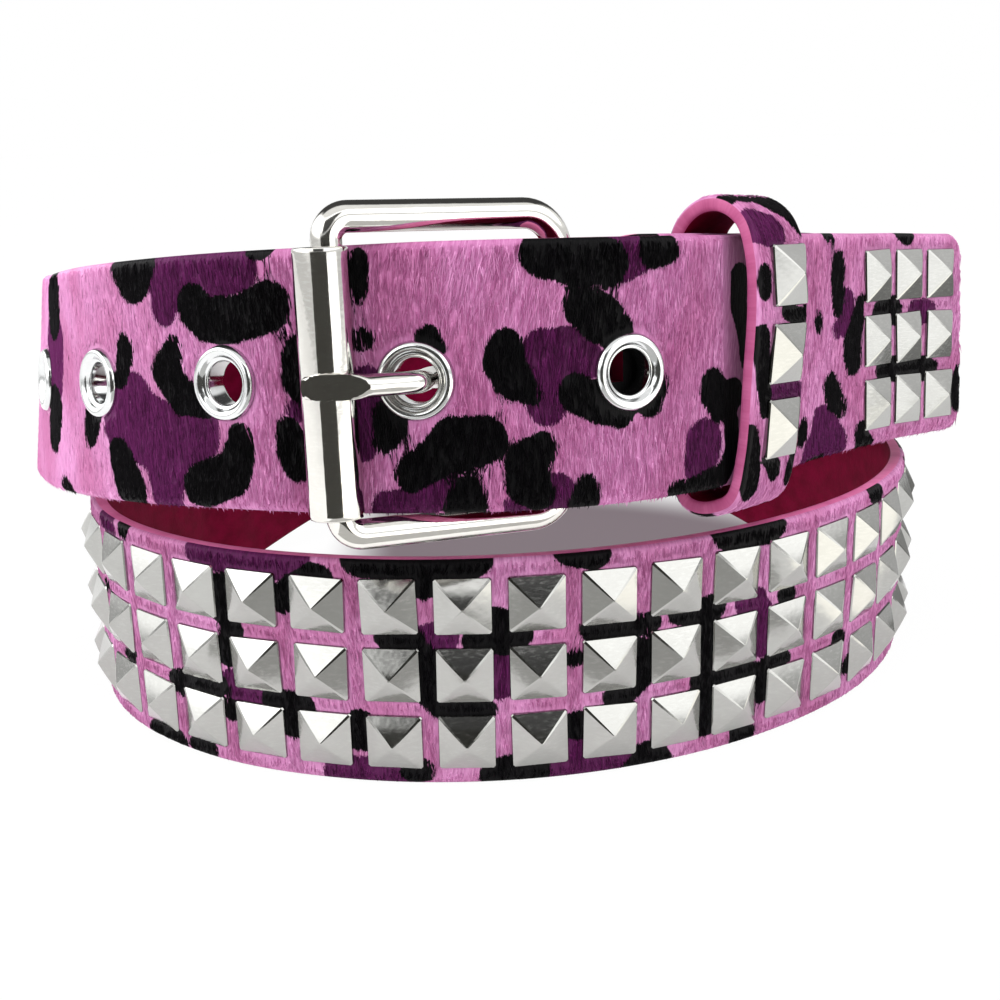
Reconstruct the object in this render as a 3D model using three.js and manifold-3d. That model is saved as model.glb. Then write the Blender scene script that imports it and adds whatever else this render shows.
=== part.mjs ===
import * as THREE from 'three';
import { mergeVertices } from 'three/addons/utils/BufferGeometryUtils.js';
import Module from 'manifold-3d';

const wasm = await Module();
wasm.setup();

// A studded belt, fastened and coiled into two turns that stand on their lower edges.
// Millimetres, +Z up. The coil's axis is the Z axis until the last lines centre the whole belt on it.
// The lower turn stands on Z = 0, and -Y is the front, where the buckle is.

// Strap
const STRAP_WIDTH = 38;
const STRAP_THICKNESS = 3;
const EDGE_CHAMFER = 0.7;
const TIP_CORNER_RADIUS = 5;
const TIP_CORNER_RINGS = 4;
const LONGEST_FACET = 7.5;

// Coil: the mean radius of the lower turn, the rise to the upper one and the lean that tapers it
const COIL_RADIUS = 80;
const TURN_RISE = STRAP_WIDTH + 11;
const UPPER_LEAN = 0.1;
const LAYER_GAP = 1.5;

// Clearances between pieces that touch on the real belt
const SEAT_GAP = 0.3;
const SEAT_DEPTH = 0.3;

// Pyramid studs
const STUD_SIZE = 9.2;
const STUD_SKIRT = 0.6;
const STUD_HEIGHT = 2.95;
const STUD_ROWS = 3;
const STUD_ROW_PITCH = 11.5;
const STUD_COLUMN_PITCH = 11.435;
const FIRST_FIELD_COLUMN = 277.2;
const FIELD_COLUMNS = 66;
const TIP_COLUMNS = 3;
const TIP_STUD_MARGIN = 8.8;

// Eyelets, counted from the tip; the second one is in use
const EYELET_COUNT = 6;
const EYELET_IN_USE = 2;
const FIRST_EYELET = 102.65;
const EYELET_PITCH = 30.3;
const EYELET_BORE = 3.4;
const EYELET_BARREL = 3.9;
const EYELET_FLANGE = 5.7;
const EYELET_BACK_FLANGE = 5.0;
const EYELET_FRONT_HEIGHT = 1.1;
const EYELET_BACK_HEIGHT = 0.45;
const EYELET_SIDES = 14;

// Buckle
const FRAME_WIRE = 2.2;
const FRAME_ARM_GAP = 0.9;
const FRONT_CORNER = 3.1;
const HEEL_CORNER = 5.2;
const FRAME_SIDES = 10;
const ROLLER_RADIUS = 3.7;
const ROLLER_WALL = 0.45;
const ROLLER_LENGTH = 37.6;
const ROLLER_SIDES = 16;
const ROLLER_HANG = 0.85;
const ROLLER_FROM_EYELET = 10.8;
const HEEL_FROM_EYELET = 22.4;
const PRONG_RADIUS = 1.6;
const PRONG_OVERHANG = 0.8;
const PRONG_REST = 2.6;
const PRONG_SIDES = 10;
const SLOT_CLEARANCE = 0.8;
const FOLD_BOND_LENGTH = 22;
const FOLD_TAPER = 2;
const FOLD_TAPER_LENGTH = 12;

// Keeper loop
const KEEPER_FROM_TIP = 77;
const KEEPER_WIDTH = 14.3;
const KEEPER_THICKNESS = 2.3;
const KEEPER_PROUD = 3.9;
const KEEPER_GAP = 0.6;
const KEEPER_STUD_SHIFT = 1;
const KEEPER_STUD_RISE = 1;

const HALF_WIDTH = STRAP_WIDTH / 2;
const HALF_THICKNESS = STRAP_THICKNESS / 2;
const LAYER_STEP = STRAP_THICKNESS + LAYER_GAP;

// The strap's course, from the heel bar round the upper turn, down behind to the lower turn, and up
// behind again to the fastened tail. Angle is counted from the front towards +X. Reach is the share of
// COIL_RADIUS, inside the number of layer steps that this stretch runs within the outer one, level the
// share of TURN_RISE, and lean the share of UPPER_LEAN.
const COURSE = [
  { angle: -10, reach: 1.076, inside: 1, level: 0.996, lean: 0.86 },
  { angle: 0, reach: 1.0765, inside: 1, level: 1, lean: 0.84 },
  { angle: 10, reach: 1.0534, inside: 1, level: 0.994, lean: 0.84 },
  { angle: 20, reach: 1.0035, inside: 1, level: 0.98, lean: 0.84 },
  { angle: 30, reach: 0.9458, inside: 1, level: 0.961, lean: 0.85 },
  { angle: 40, reach: 0.9045, inside: 1, level: 0.945, lean: 0.86 },
  { angle: 50, reach: 0.8925, inside: 1, level: 0.929, lean: 0.86 },
  { angle: 60, reach: 0.913, inside: 1.05, level: 0.906, lean: 0.87 },
  { angle: 75, reach: 0.965, inside: 1.4, level: 0.872, lean: 0.85 },
  { angle: 90, reach: 1.015, inside: 1.75, level: 0.82, lean: 0.8 },
  { angle: 110, reach: 1.045, inside: 2.05, level: 0.74, lean: 0.6 },
  { angle: 140, reach: 1.053, inside: 2.05, level: 0.59, lean: 0.35 },
  { angle: 180, reach: 1.058, inside: 2.05, level: 0.385, lean: 0.1 },
  { angle: 215, reach: 1.058, inside: 2.05, level: 0.18, lean: 0 },
  { angle: 236, reach: 1.045, inside: 2, level: 0.04, lean: 0 },
  { angle: 250, reach: 0.945, inside: 0, level: 0, lean: 0 },
  { angle: 270, reach: 0.961, inside: 0, level: 0, lean: 0 },
  { angle: 280, reach: 0.991, inside: 0, level: 0, lean: 0 },
  { angle: 300, reach: 1.021, inside: 0, level: 0, lean: 0 },
  { angle: 320, reach: 1.0025, inside: 0, level: 0, lean: 0 },
  { angle: 340, reach: 0.961, inside: 0, level: 0, lean: 0 },
  { angle: 360, reach: 0.931, inside: 0, level: 0, lean: 0 },
  { angle: 380, reach: 0.92, inside: 0, level: 0, lean: 0 },
  { angle: 400, reach: 0.9334, inside: 0, level: 0, lean: 0 },
  { angle: 420, reach: 0.971, inside: 0, level: 0, lean: 0 },
  { angle: 440, reach: 1.01, inside: 0, level: 0, lean: 0 },
  { angle: 460, reach: 1.033, inside: 0, level: 0, lean: 0 },
  { angle: 474, reach: 1.042, inside: 0, level: 0, lean: 0 },
  { angle: 495, reach: 1.05, inside: 0, level: 0.115, lean: 0.2 },
  { angle: 540, reach: 1.058, inside: 0, level: 0.4, lean: 0.7 },
  { angle: 585, reach: 1.078, inside: 0, level: 0.64, lean: 1.2 },
  { angle: 615, reach: 1.098, inside: 0, level: 0.745, lean: 1.45 },
  { angle: 630, reach: 1.105, inside: 0, level: 0.78, lean: 1.5 },
  { angle: 641, reach: 1.097, inside: 0, level: 0.805, lean: 1.42 },
  { angle: 650, reach: 1.0756, inside: 0, level: 0.832, lean: 1.3 },
  { angle: 670, reach: 1.0618, inside: 0, level: 0.906, lean: 1.11 },
  { angle: 690, reach: 1.0573, inside: 0, level: 0.963, lean: 0.95 },
  { angle: 710, reach: 1.076, inside: 0, level: 0.996, lean: 0.86 },
  { angle: 720, reach: 1.0765, inside: 0, level: 1, lean: 0.84 },
  { angle: 730, reach: 1.0534, inside: 0, level: 0.994, lean: 0.84 },
  { angle: 740, reach: 1.0035, inside: 0, level: 0.98, lean: 0.84 },
  { angle: 750, reach: 0.9458, inside: 0, level: 0.961, lean: 0.85 },
  { angle: 760, reach: 0.9045, inside: 0, level: 0.945, lean: 0.86 },
  { angle: 770, reach: 0.8925, inside: 0, level: 0.929, lean: 0.86 },
  { angle: 780, reach: 0.913, inside: 0, level: 0.91, lean: 0.87 },
  { angle: 790, reach: 0.9729, inside: 0, level: 0.892, lean: 0.89 },
  { angle: 797, reach: 1.048, inside: 0, level: 0.874, lean: 0.9 },
  { angle: 803, reach: 1.142, inside: 0, level: 0.858, lean: 0.92 },
];
const COURSE_STEP = 0.5;

// The keeper's leather seen along the strap: across runs from its back run to the crown of its front,
// and up from the strap's middle to its edge.
const KEEPER_LOOP = [
  { across: 0, up: 0 },
  { across: 0, up: -0.45 },
  { across: 0, up: -0.78 },
  { across: 0.015, up: -0.93 },
  { across: 0.09, up: -1.05 },
  { across: 0.27, up: -1.1 },
  { across: 0.5, up: -1.08 },
  { across: 0.71, up: -1 },
  { across: 0.85, up: -0.68 },
  { across: 0.94, up: -0.1 },
  { across: 1, up: 0.4 },
  { across: 0.98, up: 0.78 },
  { across: 0.84, up: 1.06 },
  { across: 0.58, up: 1.2 },
  { across: 0.3, up: 1.18 },
  { across: 0.09, up: 1.06 },
  { across: 0.015, up: 0.93 },
  { across: 0, up: 0.78 },
  { across: 0, up: 0.45 },
];
const KEEPER_SEGMENTS = 34;

const nickel = () => new THREE.MeshStandardMaterial({ color: 0xd6d4d0, roughness: 0.15, metalness: 1 });
const pinkHide = () => new THREE.MeshStandardMaterial({ color: 0xd372b4, roughness: 0.8, metalness: 0 });

// Solids from rings of points

// One closed solid skinned over rings of equal length, capped at both ends or joined into a loop.
function skin(rings, closed = false) {
  const size = rings[0].length;
  const vertices = [];
  const triangles = [];
  for (const ring of rings) {
    for (const point of ring) vertices.push(point.x, point.y, point.z);
  }
  const spans = closed ? rings.length : rings.length - 1;
  for (let i = 0; i < spans; i += 1) {
    const here = i * size;
    const next = ((i + 1) % rings.length) * size;
    for (let j = 0; j < size; j += 1) {
      const k = (j + 1) % size;
      triangles.push(here + j, here + k, next + k);
      triangles.push(here + j, next + k, next + j);
    }
  }
  if (!closed) {
    const last = (rings.length - 1) * size;
    for (let j = 1; j < size - 1; j += 1) {
      triangles.push(0, j + 1, j);
      triangles.push(last, last + j, last + j + 1);
    }
  }
  return solidFrom(new Float32Array(vertices), new Uint32Array(triangles));
}

function solidFrom(vertProperties, triVerts) {
  const solid = new wasm.Manifold(new wasm.Mesh({ numProp: 3, vertProperties, triVerts }));
  return solid;
}

function solidFromGeometry(geometry) {
  const bare = geometry.clone();
  bare.deleteAttribute('normal');
  bare.deleteAttribute('uv');
  const merged = mergeVertices(bare, 1e-5);
  return solidFrom(new Float32Array(merged.attributes.position.array), new Uint32Array(merged.index.array));
}

function geometryFrom(solid) {
  const mesh = solid.getMesh();
  const geometry = new THREE.BufferGeometry();
  geometry.setAttribute('position', new THREE.BufferAttribute(new Float32Array(mesh.vertProperties), 3));
  geometry.setIndex(new THREE.BufferAttribute(new Uint32Array(mesh.triVerts), 1));
  geometry.computeVertexNormals();
  return geometry;
}

function node(name, geometry, material) {
  const mesh = new THREE.Mesh(geometry, material);
  mesh.name = name;
  return mesh;
}

// The strap's course

// Smooth interpolation in one column of COURSE, with slopes taken from the neighbouring rows. A row
// that repeats its neighbour's value lies level, so that the lower turn stays flat on the floor.
function follow(column, angle) {
  const last = COURSE.length - 1;
  let i = 0;
  while (i < last - 1 && COURSE[i + 1].angle <= angle) i += 1;
  const slopeAt = (row) => {
    const before = COURSE[Math.max(row - 1, 0)];
    const after = COURSE[Math.min(row + 1, last)];
    const repeats = [before, after].some((other) => {
      return other !== COURSE[row] && other[column] === COURSE[row][column];
    });
    return repeats ? 0 : (after[column] - before[column]) / (after.angle - before.angle);
  };
  const span = COURSE[i + 1].angle - COURSE[i].angle;
  const t = (angle - COURSE[i].angle) / span;
  return (
    (2 * t ** 3 - 3 * t ** 2 + 1) * COURSE[i][column] +
    (t ** 3 - 2 * t ** 2 + t) * span * slopeAt(i) +
    (3 * t ** 2 - 2 * t ** 3) * COURSE[i + 1][column] +
    (t ** 3 - t ** 2) * span * slopeAt(i + 1)
  );
}

// The middle of the strap's section at an angle round the coil. Layers are stepped square to the strap,
// which takes more of the radius where the strap runs aslant to the circle.
function middleAt(angle) {
  const turn = THREE.MathUtils.degToRad(angle);
  const outer = (at) => follow('reach', at) * COIL_RADIUS;
  const rise = outer(angle + COURSE_STEP) - outer(angle - COURSE_STEP);
  const slant = rise / (outer(angle) * THREE.MathUtils.degToRad(2 * COURSE_STEP));
  const radius = outer(angle) - follow('inside', angle) * LAYER_STEP * Math.hypot(1, slant);
  const height = HALF_WIDTH + TURN_RISE * follow('level', angle);
  return new THREE.Vector3(radius * Math.sin(turn), -radius * Math.cos(turn), height);
}

const FIRST_ANGLE = COURSE[0].angle;
const LAST_ANGLE = COURSE[COURSE.length - 1].angle;

// Distance from the tip, measured along the middle of the strap, against the angle round the coil.
const course = [];
for (let angle = LAST_ANGLE; angle >= FIRST_ANGLE; angle -= COURSE_STEP) {
  const point = middleAt(angle);
  const previous = course[course.length - 1];
  const fromTip = previous ? previous.fromTip + point.distanceTo(previous.point) : 0;
  course.push({ angle, point, fromTip });
}

function angleAt(fromTip) {
  let i = 1;
  while (i < course.length - 1 && course[i].fromTip < fromTip) i += 1;
  const share = (fromTip - course[i - 1].fromTip) / (course[i].fromTip - course[i - 1].fromTip);
  return THREE.MathUtils.lerp(course[i - 1].angle, course[i].angle, share);
}

function fromTipAt(angle) {
  const i = Math.max(1, Math.ceil((LAST_ANGLE - angle) / COURSE_STEP));
  const share = (course[i - 1].angle - angle) / COURSE_STEP;
  return THREE.MathUtils.lerp(course[i - 1].fromTip, course[i].fromTip, share);
}

// Where the strap is at a distance from its tip: along points to the tip, out is its fur side's normal
// and up runs across its width.
function stationAt(fromTip) {
  const angle = angleAt(fromTip);
  const middle = middleAt(angle);
  const along = middleAt(angle + COURSE_STEP / 2).sub(middleAt(angle - COURSE_STEP / 2)).normalize();
  const flatOut = new THREE.Vector3(along.y, -along.x, 0).normalize();
  const up = new THREE.Vector3(0, 0, 1).addScaledVector(flatOut, -UPPER_LEAN * follow('lean', angle));
  up.addScaledVector(along, -up.dot(along)).normalize();
  const out = along.clone().cross(up);
  return { middle, along, out, up };
}

function offset(station, out, up, along = 0) {
  return station.middle
    .clone()
    .addScaledVector(station.out, out)
    .addScaledVector(station.up, up)
    .addScaledVector(station.along, along);
}

// The chamfered section of the strap, with its half width and its place in the layers.
function strapSection(station, halfWidth, out = 0) {
  const inner = HALF_THICKNESS - EDGE_CHAMFER;
  const low = halfWidth - EDGE_CHAMFER;
  return [
    offset(station, out + HALF_THICKNESS, -low),
    offset(station, out + HALF_THICKNESS, low),
    offset(station, out + inner, halfWidth),
    offset(station, out - inner, halfWidth),
    offset(station, out - HALF_THICKNESS, low),
    offset(station, out - HALF_THICKNESS, -low),
    offset(station, out - inner, -halfWidth),
    offset(station, out + inner, -halfWidth),
  ];
}

// The tip's corners are rounded, and the strap narrows a little to fold between the frame's corners.
function halfWidthAt(fromTip) {
  const into = Math.max(TIP_CORNER_RADIUS - fromTip, 0);
  const taper = FOLD_TAPER * THREE.MathUtils.smoothstep(fromTip, HEEL_END - FOLD_TAPER_LENGTH, HEEL_END);
  return HALF_WIDTH - TIP_CORNER_RADIUS + Math.sqrt(TIP_CORNER_RADIUS ** 2 - into ** 2) - taper;
}

const eyeletFromTip = (number) => FIRST_EYELET + (number - 1) * EYELET_PITCH;
const IN_USE = eyeletFromTip(EYELET_IN_USE);
// The strap's other end lies two whole turns of the coil below the tail, at the heel bar.
const TURNS = 2;
const HEEL_END = fromTipAt(angleAt(IN_USE - HEEL_FROM_EYELET) - 360 * TURNS);
const keeperFromHeel = HEEL_END - fromTipAt(angleAt(KEEPER_FROM_TIP) - 360 * TURNS);
const tipColumn = (k) => TIP_STUD_MARGIN + k * STUD_COLUMN_PITCH;
const fieldColumn = (k) => FIRST_FIELD_COLUMN + k * STUD_COLUMN_PITCH;
const rowOffset = (k) => (k - (STUD_ROWS - 1) / 2) * STUD_ROW_PITCH;

// Places from one to another, without the first, no further apart than the longest facet.
function evenSteps(from, to) {
  const parts = Math.ceil((to - from) / LONGEST_FACET);
  return Array.from({ length: parts }, (_, k) => from + ((to - from) * (k + 1)) / parts);
}

// Rings stand at both sides of every stud column and eyelet, so that each seats on one flat facet.
function ringPlaces() {
  const fixed = [];
  for (let k = 0; k <= TIP_CORNER_RINGS; k += 1) {
    const swing = (k / TIP_CORNER_RINGS) * (Math.PI / 2);
    fixed.push(TIP_CORNER_RADIUS * (1 - Math.cos(swing)));
  }
  fixed[0] = TIP_CORNER_RADIUS * 0.02;
  for (let k = 0; k < TIP_COLUMNS; k += 1) fixed.push(tipColumn(k) + STUD_COLUMN_PITCH / 2);
  for (let k = 1; k <= EYELET_COUNT; k += 1) {
    fixed.push(eyeletFromTip(k) - EYELET_FLANGE - SEAT_GAP);
    fixed.push(eyeletFromTip(k) + EYELET_FLANGE + SEAT_GAP);
  }
  for (let k = 0; k <= FIELD_COLUMNS; k += 1) fixed.push(fieldColumn(k) - STUD_COLUMN_PITCH / 2);
  fixed.push(HEEL_END);
  const places = [fixed[0]];
  for (const place of fixed.slice(1).sort((a, b) => a - b)) {
    const from = places[places.length - 1];
    const held = isFlatSpan(from, place);
    places.push(...(held ? [place] : evenSteps(from, place)));
  }
  return places;
}

function isFlatSpan(from, to) {
  const middle = (from + to) / 2;
  const onEyelet = Array.from({ length: EYELET_COUNT }, (_, k) => eyeletFromTip(k + 1));
  const nearEyelet = onEyelet.some((place) => Math.abs(place - middle) < 0.01);
  const inField = middle > fieldColumn(0) - STUD_COLUMN_PITCH && middle < fieldColumn(FIELD_COLUMNS);
  return nearEyelet || inField || middle < tipColumn(TIP_COLUMNS - 1) + STUD_COLUMN_PITCH / 2;
}

// Studs

// A square pyramid on a short skirt, with its base centre at the origin and its point along +Z.
function studGeometry(sunk) {
  const half = STUD_SIZE / 2;
  const square = (size, z) => [
    new THREE.Vector3(-size, -size, z),
    new THREE.Vector3(size, -size, z),
    new THREE.Vector3(size, size, z),
    new THREE.Vector3(-size, size, z),
  ];
  const rings = [square(half, -sunk), square(half, STUD_SKIRT)];
  const vertices = rings.flat().flatMap((point) => point.toArray());
  vertices.push(0, 0, STUD_HEIGHT);
  const triangles = [0, 2, 1, 0, 3, 2];
  for (let j = 0; j < 4; j += 1) {
    const k = (j + 1) % 4;
    triangles.push(j, k, 4 + k, j, 4 + k, 4 + j, 4 + j, 4 + k, 8);
  }
  const geometry = new THREE.BufferGeometry();
  geometry.setAttribute('position', new THREE.BufferAttribute(new Float32Array(vertices), 3));
  geometry.setIndex(triangles);
  geometry.computeVertexNormals();
  return geometry;
}

// The middle of a strap facet and the frame of its fur side.
function facetSeat(fromTip, half, up) {
  const ahead = stationAt(fromTip - half);
  const behind = stationAt(fromTip + half);
  const point = (station) => offset(station, HALF_THICKNESS, up);
  const middle = point(ahead).add(point(behind)).multiplyScalar(0.5);
  const along = point(ahead).sub(point(behind)).normalize();
  const rise = ahead.up.clone().add(behind.up);
  const out = along.clone().cross(rise).normalize();
  const across = out.clone().cross(along);
  return new THREE.Matrix4().makeBasis(along, across, out).setPosition(middle);
}

// Eyelets

// A flanged eyelet set through a hole: a rolled front flange, a barrel and a flat turned-over back.
function eyeletGeometry() {
  const front = HALF_THICKNESS + SEAT_GAP;
  const back = -HALF_THICKNESS - SEAT_GAP;
  const crown = front + EYELET_FRONT_HEIGHT;
  const profile = [
    new THREE.Vector2(EYELET_BORE, back - EYELET_BACK_HEIGHT),
    new THREE.Vector2(EYELET_BACK_FLANGE, back - EYELET_BACK_HEIGHT),
    new THREE.Vector2(EYELET_BACK_FLANGE, back),
    new THREE.Vector2(EYELET_BARREL, back),
    new THREE.Vector2(EYELET_BARREL, front),
    new THREE.Vector2(EYELET_FLANGE, front),
    new THREE.Vector2(EYELET_FLANGE - 0.35, front + 0.5 * EYELET_FRONT_HEIGHT),
    new THREE.Vector2((EYELET_FLANGE + EYELET_BORE) / 2 + 0.2, crown),
    new THREE.Vector2(EYELET_BORE, front + 0.45 * EYELET_FRONT_HEIGHT),
  ];
  profile.push(profile[0].clone());
  const lathe = new THREE.LatheGeometry(profile, EYELET_SIDES);
  lathe.rotateX(Math.PI / 2);
  return lathe;
}

// Buckle

const inUse = stationAt(IN_USE);
const rollerStation = stationAt(IN_USE + ROLLER_FROM_EYELET);
const heelStation = stationAt(HEEL_END);
const ROLLER_OUT = HALF_THICKNESS + SEAT_GAP + ROLLER_RADIUS;
const FOLD_RADIUS = FRAME_WIRE + SEAT_GAP + HALF_THICKNESS;
const rollerCentre = offset(rollerStation, ROLLER_OUT, 0);
const frontBar = offset(rollerStation, ROLLER_OUT, 0, ROLLER_HANG);
const heelBar = offset(heelStation, -FOLD_RADIUS, 0);

// The frame lies in the plane of its two bars, which both run up the strap's width.
const frameUp = rollerStation.up.clone().add(heelStation.up).normalize();
const frameAcross = heelBar.clone().sub(frontBar);
frameAcross.addScaledVector(frameUp, -frameAcross.dot(frameUp));
const FRAME_SPAN = frameAcross.length();
frameAcross.normalize();
const frameNormal = frameUp.clone().cross(frameAcross);

// A round wire bent to a rectangle with round corners; the front bar is the one in the roller.
function frameSolid() {
  const halfHeight = HALF_WIDTH + FRAME_ARM_GAP + FRAME_WIRE;
  const centre = frontBar.clone().addScaledVector(frameAcross, FRAME_SPAN / 2);
  const corners = [
    { x: 1, y: -1, start: -90, radius: HEEL_CORNER },
    { x: 1, y: 1, start: 0, radius: HEEL_CORNER },
    { x: -1, y: 1, start: 90, radius: FRONT_CORNER },
    { x: -1, y: -1, start: 180, radius: FRONT_CORNER },
  ];
  const rings = [];
  for (const corner of corners) {
    for (const swing of [0, 22.5, 45, 67.5, 90]) {
      const turn = THREE.MathUtils.degToRad(corner.start + swing);
      const x = corner.x * (FRAME_SPAN / 2 - corner.radius) + corner.radius * Math.cos(turn);
      const y = corner.y * (halfHeight - corner.radius) + corner.radius * Math.sin(turn);
      const at = centre.clone().addScaledVector(frameAcross, x).addScaledVector(frameUp, y);
      const away = frameAcross.clone().multiplyScalar(Math.cos(turn));
      away.addScaledVector(frameUp, Math.sin(turn));
      rings.push(circle(at, away, frameNormal, FRAME_WIRE, FRAME_SIDES));
    }
  }
  return skin(rings, true);
}

// A ring of points round a centre, in the plane of two unit vectors.
function circle(centre, first, second, radius, sides) {
  const points = [];
  for (let j = 0; j < sides; j += 1) {
    const turn = ((j + 0.5) / sides) * 2 * Math.PI;
    const point = centre.clone().addScaledVector(first, radius * Math.cos(turn));
    points.push(point.addScaledVector(second, radius * Math.sin(turn)));
  }
  return points;
}

function rollerSolid() {
  const end = rollerStation.up.clone().multiplyScalar(ROLLER_LENGTH / 2);
  const tube = (radius, over) => {
    const reach = end.clone().multiplyScalar(over);
    const rings = [rollerCentre.clone().sub(reach), rollerCentre.clone().add(reach)];
    const { along, out } = rollerStation;
    return skin(rings.map((centre) => circle(centre, out, along, radius, ROLLER_SIDES)));
  };
  return tube(ROLLER_RADIUS, 1).subtract(tube(ROLLER_RADIUS - ROLLER_WALL, 1.1));
}

// The prong hooks round the heel bar, runs behind the tail, passes out through the eyelet in use and
// lies over the roller. Its route is drawn in the flat plane through the middle of the eyelet.
function prongSolid() {
  const hook = FRAME_WIRE + SEAT_GAP + PRONG_RADIUS;
  const flat = (point) => point.addScaledVector(frameUp, -point.clone().sub(inUse.middle).dot(frameUp));
  const heel = flat(heelBar.clone());
  const route = [];
  for (const swing of [-170, -130, -85, -40, 5, 50, 90]) {
    const turn = THREE.MathUtils.degToRad(swing);
    const away = heelStation.along.clone().multiplyScalar(Math.cos(turn));
    away.addScaledVector(heelStation.out, Math.sin(turn));
    route.push(heel.clone().addScaledVector(away, hook));
  }
  const under = HALF_THICKNESS + EYELET_BACK_HEIGHT + 3 * SEAT_GAP + PRONG_RADIUS;
  const over = ROLLER_OUT + ROLLER_RADIUS + SEAT_GAP + PRONG_RADIUS;
  const slip = EYELET_BORE - PRONG_RADIUS - 2 * SEAT_GAP;
  const through = [
    { along: EYELET_FLANGE + PRONG_RADIUS, out: -under },
    { along: EYELET_BORE + SEAT_GAP, out: -under },
    { along: 1.3 * slip, out: -0.8 * under },
    { along: 0.95 * slip, out: -0.3 * under },
    { along: 0.9 * slip, out: 0.25 * under },
    { along: 0.6 * slip, out: 0.8 * under },
    { along: -0.25 * EYELET_BORE, out: 0.46 * over },
    { along: -EYELET_BORE, out: 0.61 * over },
    { along: -0.68 * ROLLER_FROM_EYELET, out: 0.87 * over },
  ];
  for (const step of through) route.push(flat(offset(inUse, step.out, 0, step.along)));
  route.push(flat(offset(rollerStation, over, 0, PRONG_REST)));
  route.push(flat(offset(rollerStation, over - 0.4 * PRONG_RADIUS, 0, -PRONG_OVERHANG)));
  const curve = new THREE.CatmullRomCurve3(route, false, 'centripetal');
  const steps = 36;
  const rings = [];
  for (let i = 0; i <= steps; i += 1) {
    const u = i / steps;
    const along = curve.getTangentAt(u);
    const side = frameUp.clone().cross(along).normalize();
    const nearTip = THREE.MathUtils.smoothstep(u, 0.93, 1);
    const thin = 1 - 0.35 * nearTip;
    const points = circle(new THREE.Vector3(), side, frameUp, PRONG_RADIUS, PRONG_SIDES);
    const centre = curve.getPointAt(u);
    rings.push(points.map((point) => {
      const depth = point.dot(side) * (thin - 1);
      return point.addScaledVector(side, depth).add(centre);
    }));
  }
  return skin(rings);
}

// Strap

// The fold round the heel bar: a half turn of leather that ends as the layer bonded behind the strap,
// past a pocket for the keeper's back run.
function foldSolid() {
  const rings = [strapSection(heelStation, halfWidthAt(HEEL_END))];
  const pivot = offset(heelStation, -FOLD_RADIUS, 0);
  for (let swing = 22.5; swing <= 180; swing += 22.5) {
    const turn = THREE.MathUtils.degToRad(swing);
    const out = heelStation.out.clone().multiplyScalar(Math.cos(turn));
    out.addScaledVector(heelStation.along, -Math.sin(turn));
    const along = heelStation.along.clone().multiplyScalar(Math.cos(turn));
    along.addScaledVector(heelStation.out, Math.sin(turn));
    const middle = pivot.clone().addScaledVector(out, FOLD_RADIUS);
    rings.push(strapSection({ middle, along, out, up: heelStation.up }, halfWidthAt(HEEL_END)));
  }
  const pocket = STRAP_THICKNESS + KEEPER_THICKNESS + 3 * KEEPER_GAP;
  const bonded = STRAP_THICKNESS - SEAT_DEPTH;
  const closes = keeperFromHeel + KEEPER_WIDTH / 2 + KEEPER_GAP;
  for (const run of [...evenSteps(0, closes), ...evenSteps(closes, closes + FOLD_BOND_LENGTH)]) {
    const opened = THREE.MathUtils.smoothstep(run, 0, keeperFromHeel - KEEPER_WIDTH / 2);
    const shut = THREE.MathUtils.smoothstep(run, closes, closes + 0.6 * FOLD_BOND_LENGTH);
    const spread = THREE.MathUtils.lerp(2 * FOLD_RADIUS, pocket, opened);
    const depth = THREE.MathUtils.lerp(spread, bonded, shut);
    const ring = strapSection(stationAt(HEEL_END - run), halfWidthAt(HEEL_END - run) - SEAT_DEPTH, -depth);
    rings.push([5, 4, 3, 2, 1, 0, 7, 6].map((k) => ring[k]));
  }
  return skin(rings);
}

function strapSolid() {
  const rings = ringPlaces().map((place) => strapSection(stationAt(place), halfWidthAt(place)));
  let solid = skin(rings).add(foldSolid());
  const stud = solidFromGeometry(studGeometry(SEAT_DEPTH));
  for (let column = 0; column < FIELD_COLUMNS; column += 1) {
    for (let row = 0; row < STUD_ROWS; row += 1) {
      const seat = facetSeat(fieldColumn(column), STUD_COLUMN_PITCH / 2, rowOffset(row));
      solid = solid.add(stud.transform(seat.toArray()));
    }
  }
  for (let number = 1; number <= EYELET_COUNT; number += 1) {
    const seat = facetSeat(eyeletFromTip(number), EYELET_FLANGE + SEAT_GAP, 0);
    const drill = new THREE.CylinderGeometry(EYELET_BARREL + SEAT_GAP, EYELET_BARREL + SEAT_GAP, 1, EYELET_SIDES);
    drill.scale(1, STRAP_THICKNESS + LAYER_GAP, 1);
    drill.rotateX(Math.PI / 2);
    drill.translate(0, 0, -HALF_THICKNESS);
    solid = solid.subtract(solidFromGeometry(drill).transform(seat.toArray()));
  }
  return solid.subtract(prongSlot());
}

// The slot through the fold that the prong hooks in. It stops short of the tail that lies outside it.
function prongSlot() {
  const reach = FOLD_RADIUS + HALF_THICKNESS + PRONG_RADIUS + SLOT_CLEARANCE;
  const outer = HALF_THICKNESS + 0.5 * LAYER_GAP;
  const depth = outer + FOLD_RADIUS + reach + SLOT_CLEARANCE;
  const box = new THREE.BoxGeometry(2 * reach, 2 * (PRONG_RADIUS + SLOT_CLEARANCE), depth);
  box.translate(0, 0, outer - depth / 2);
  const basis = new THREE.Matrix4().makeBasis(heelStation.along, heelStation.up, heelStation.out);
  return solidFromGeometry(box).transform(basis.setPosition(heelStation.middle).toArray());
}

// Keeper

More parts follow.
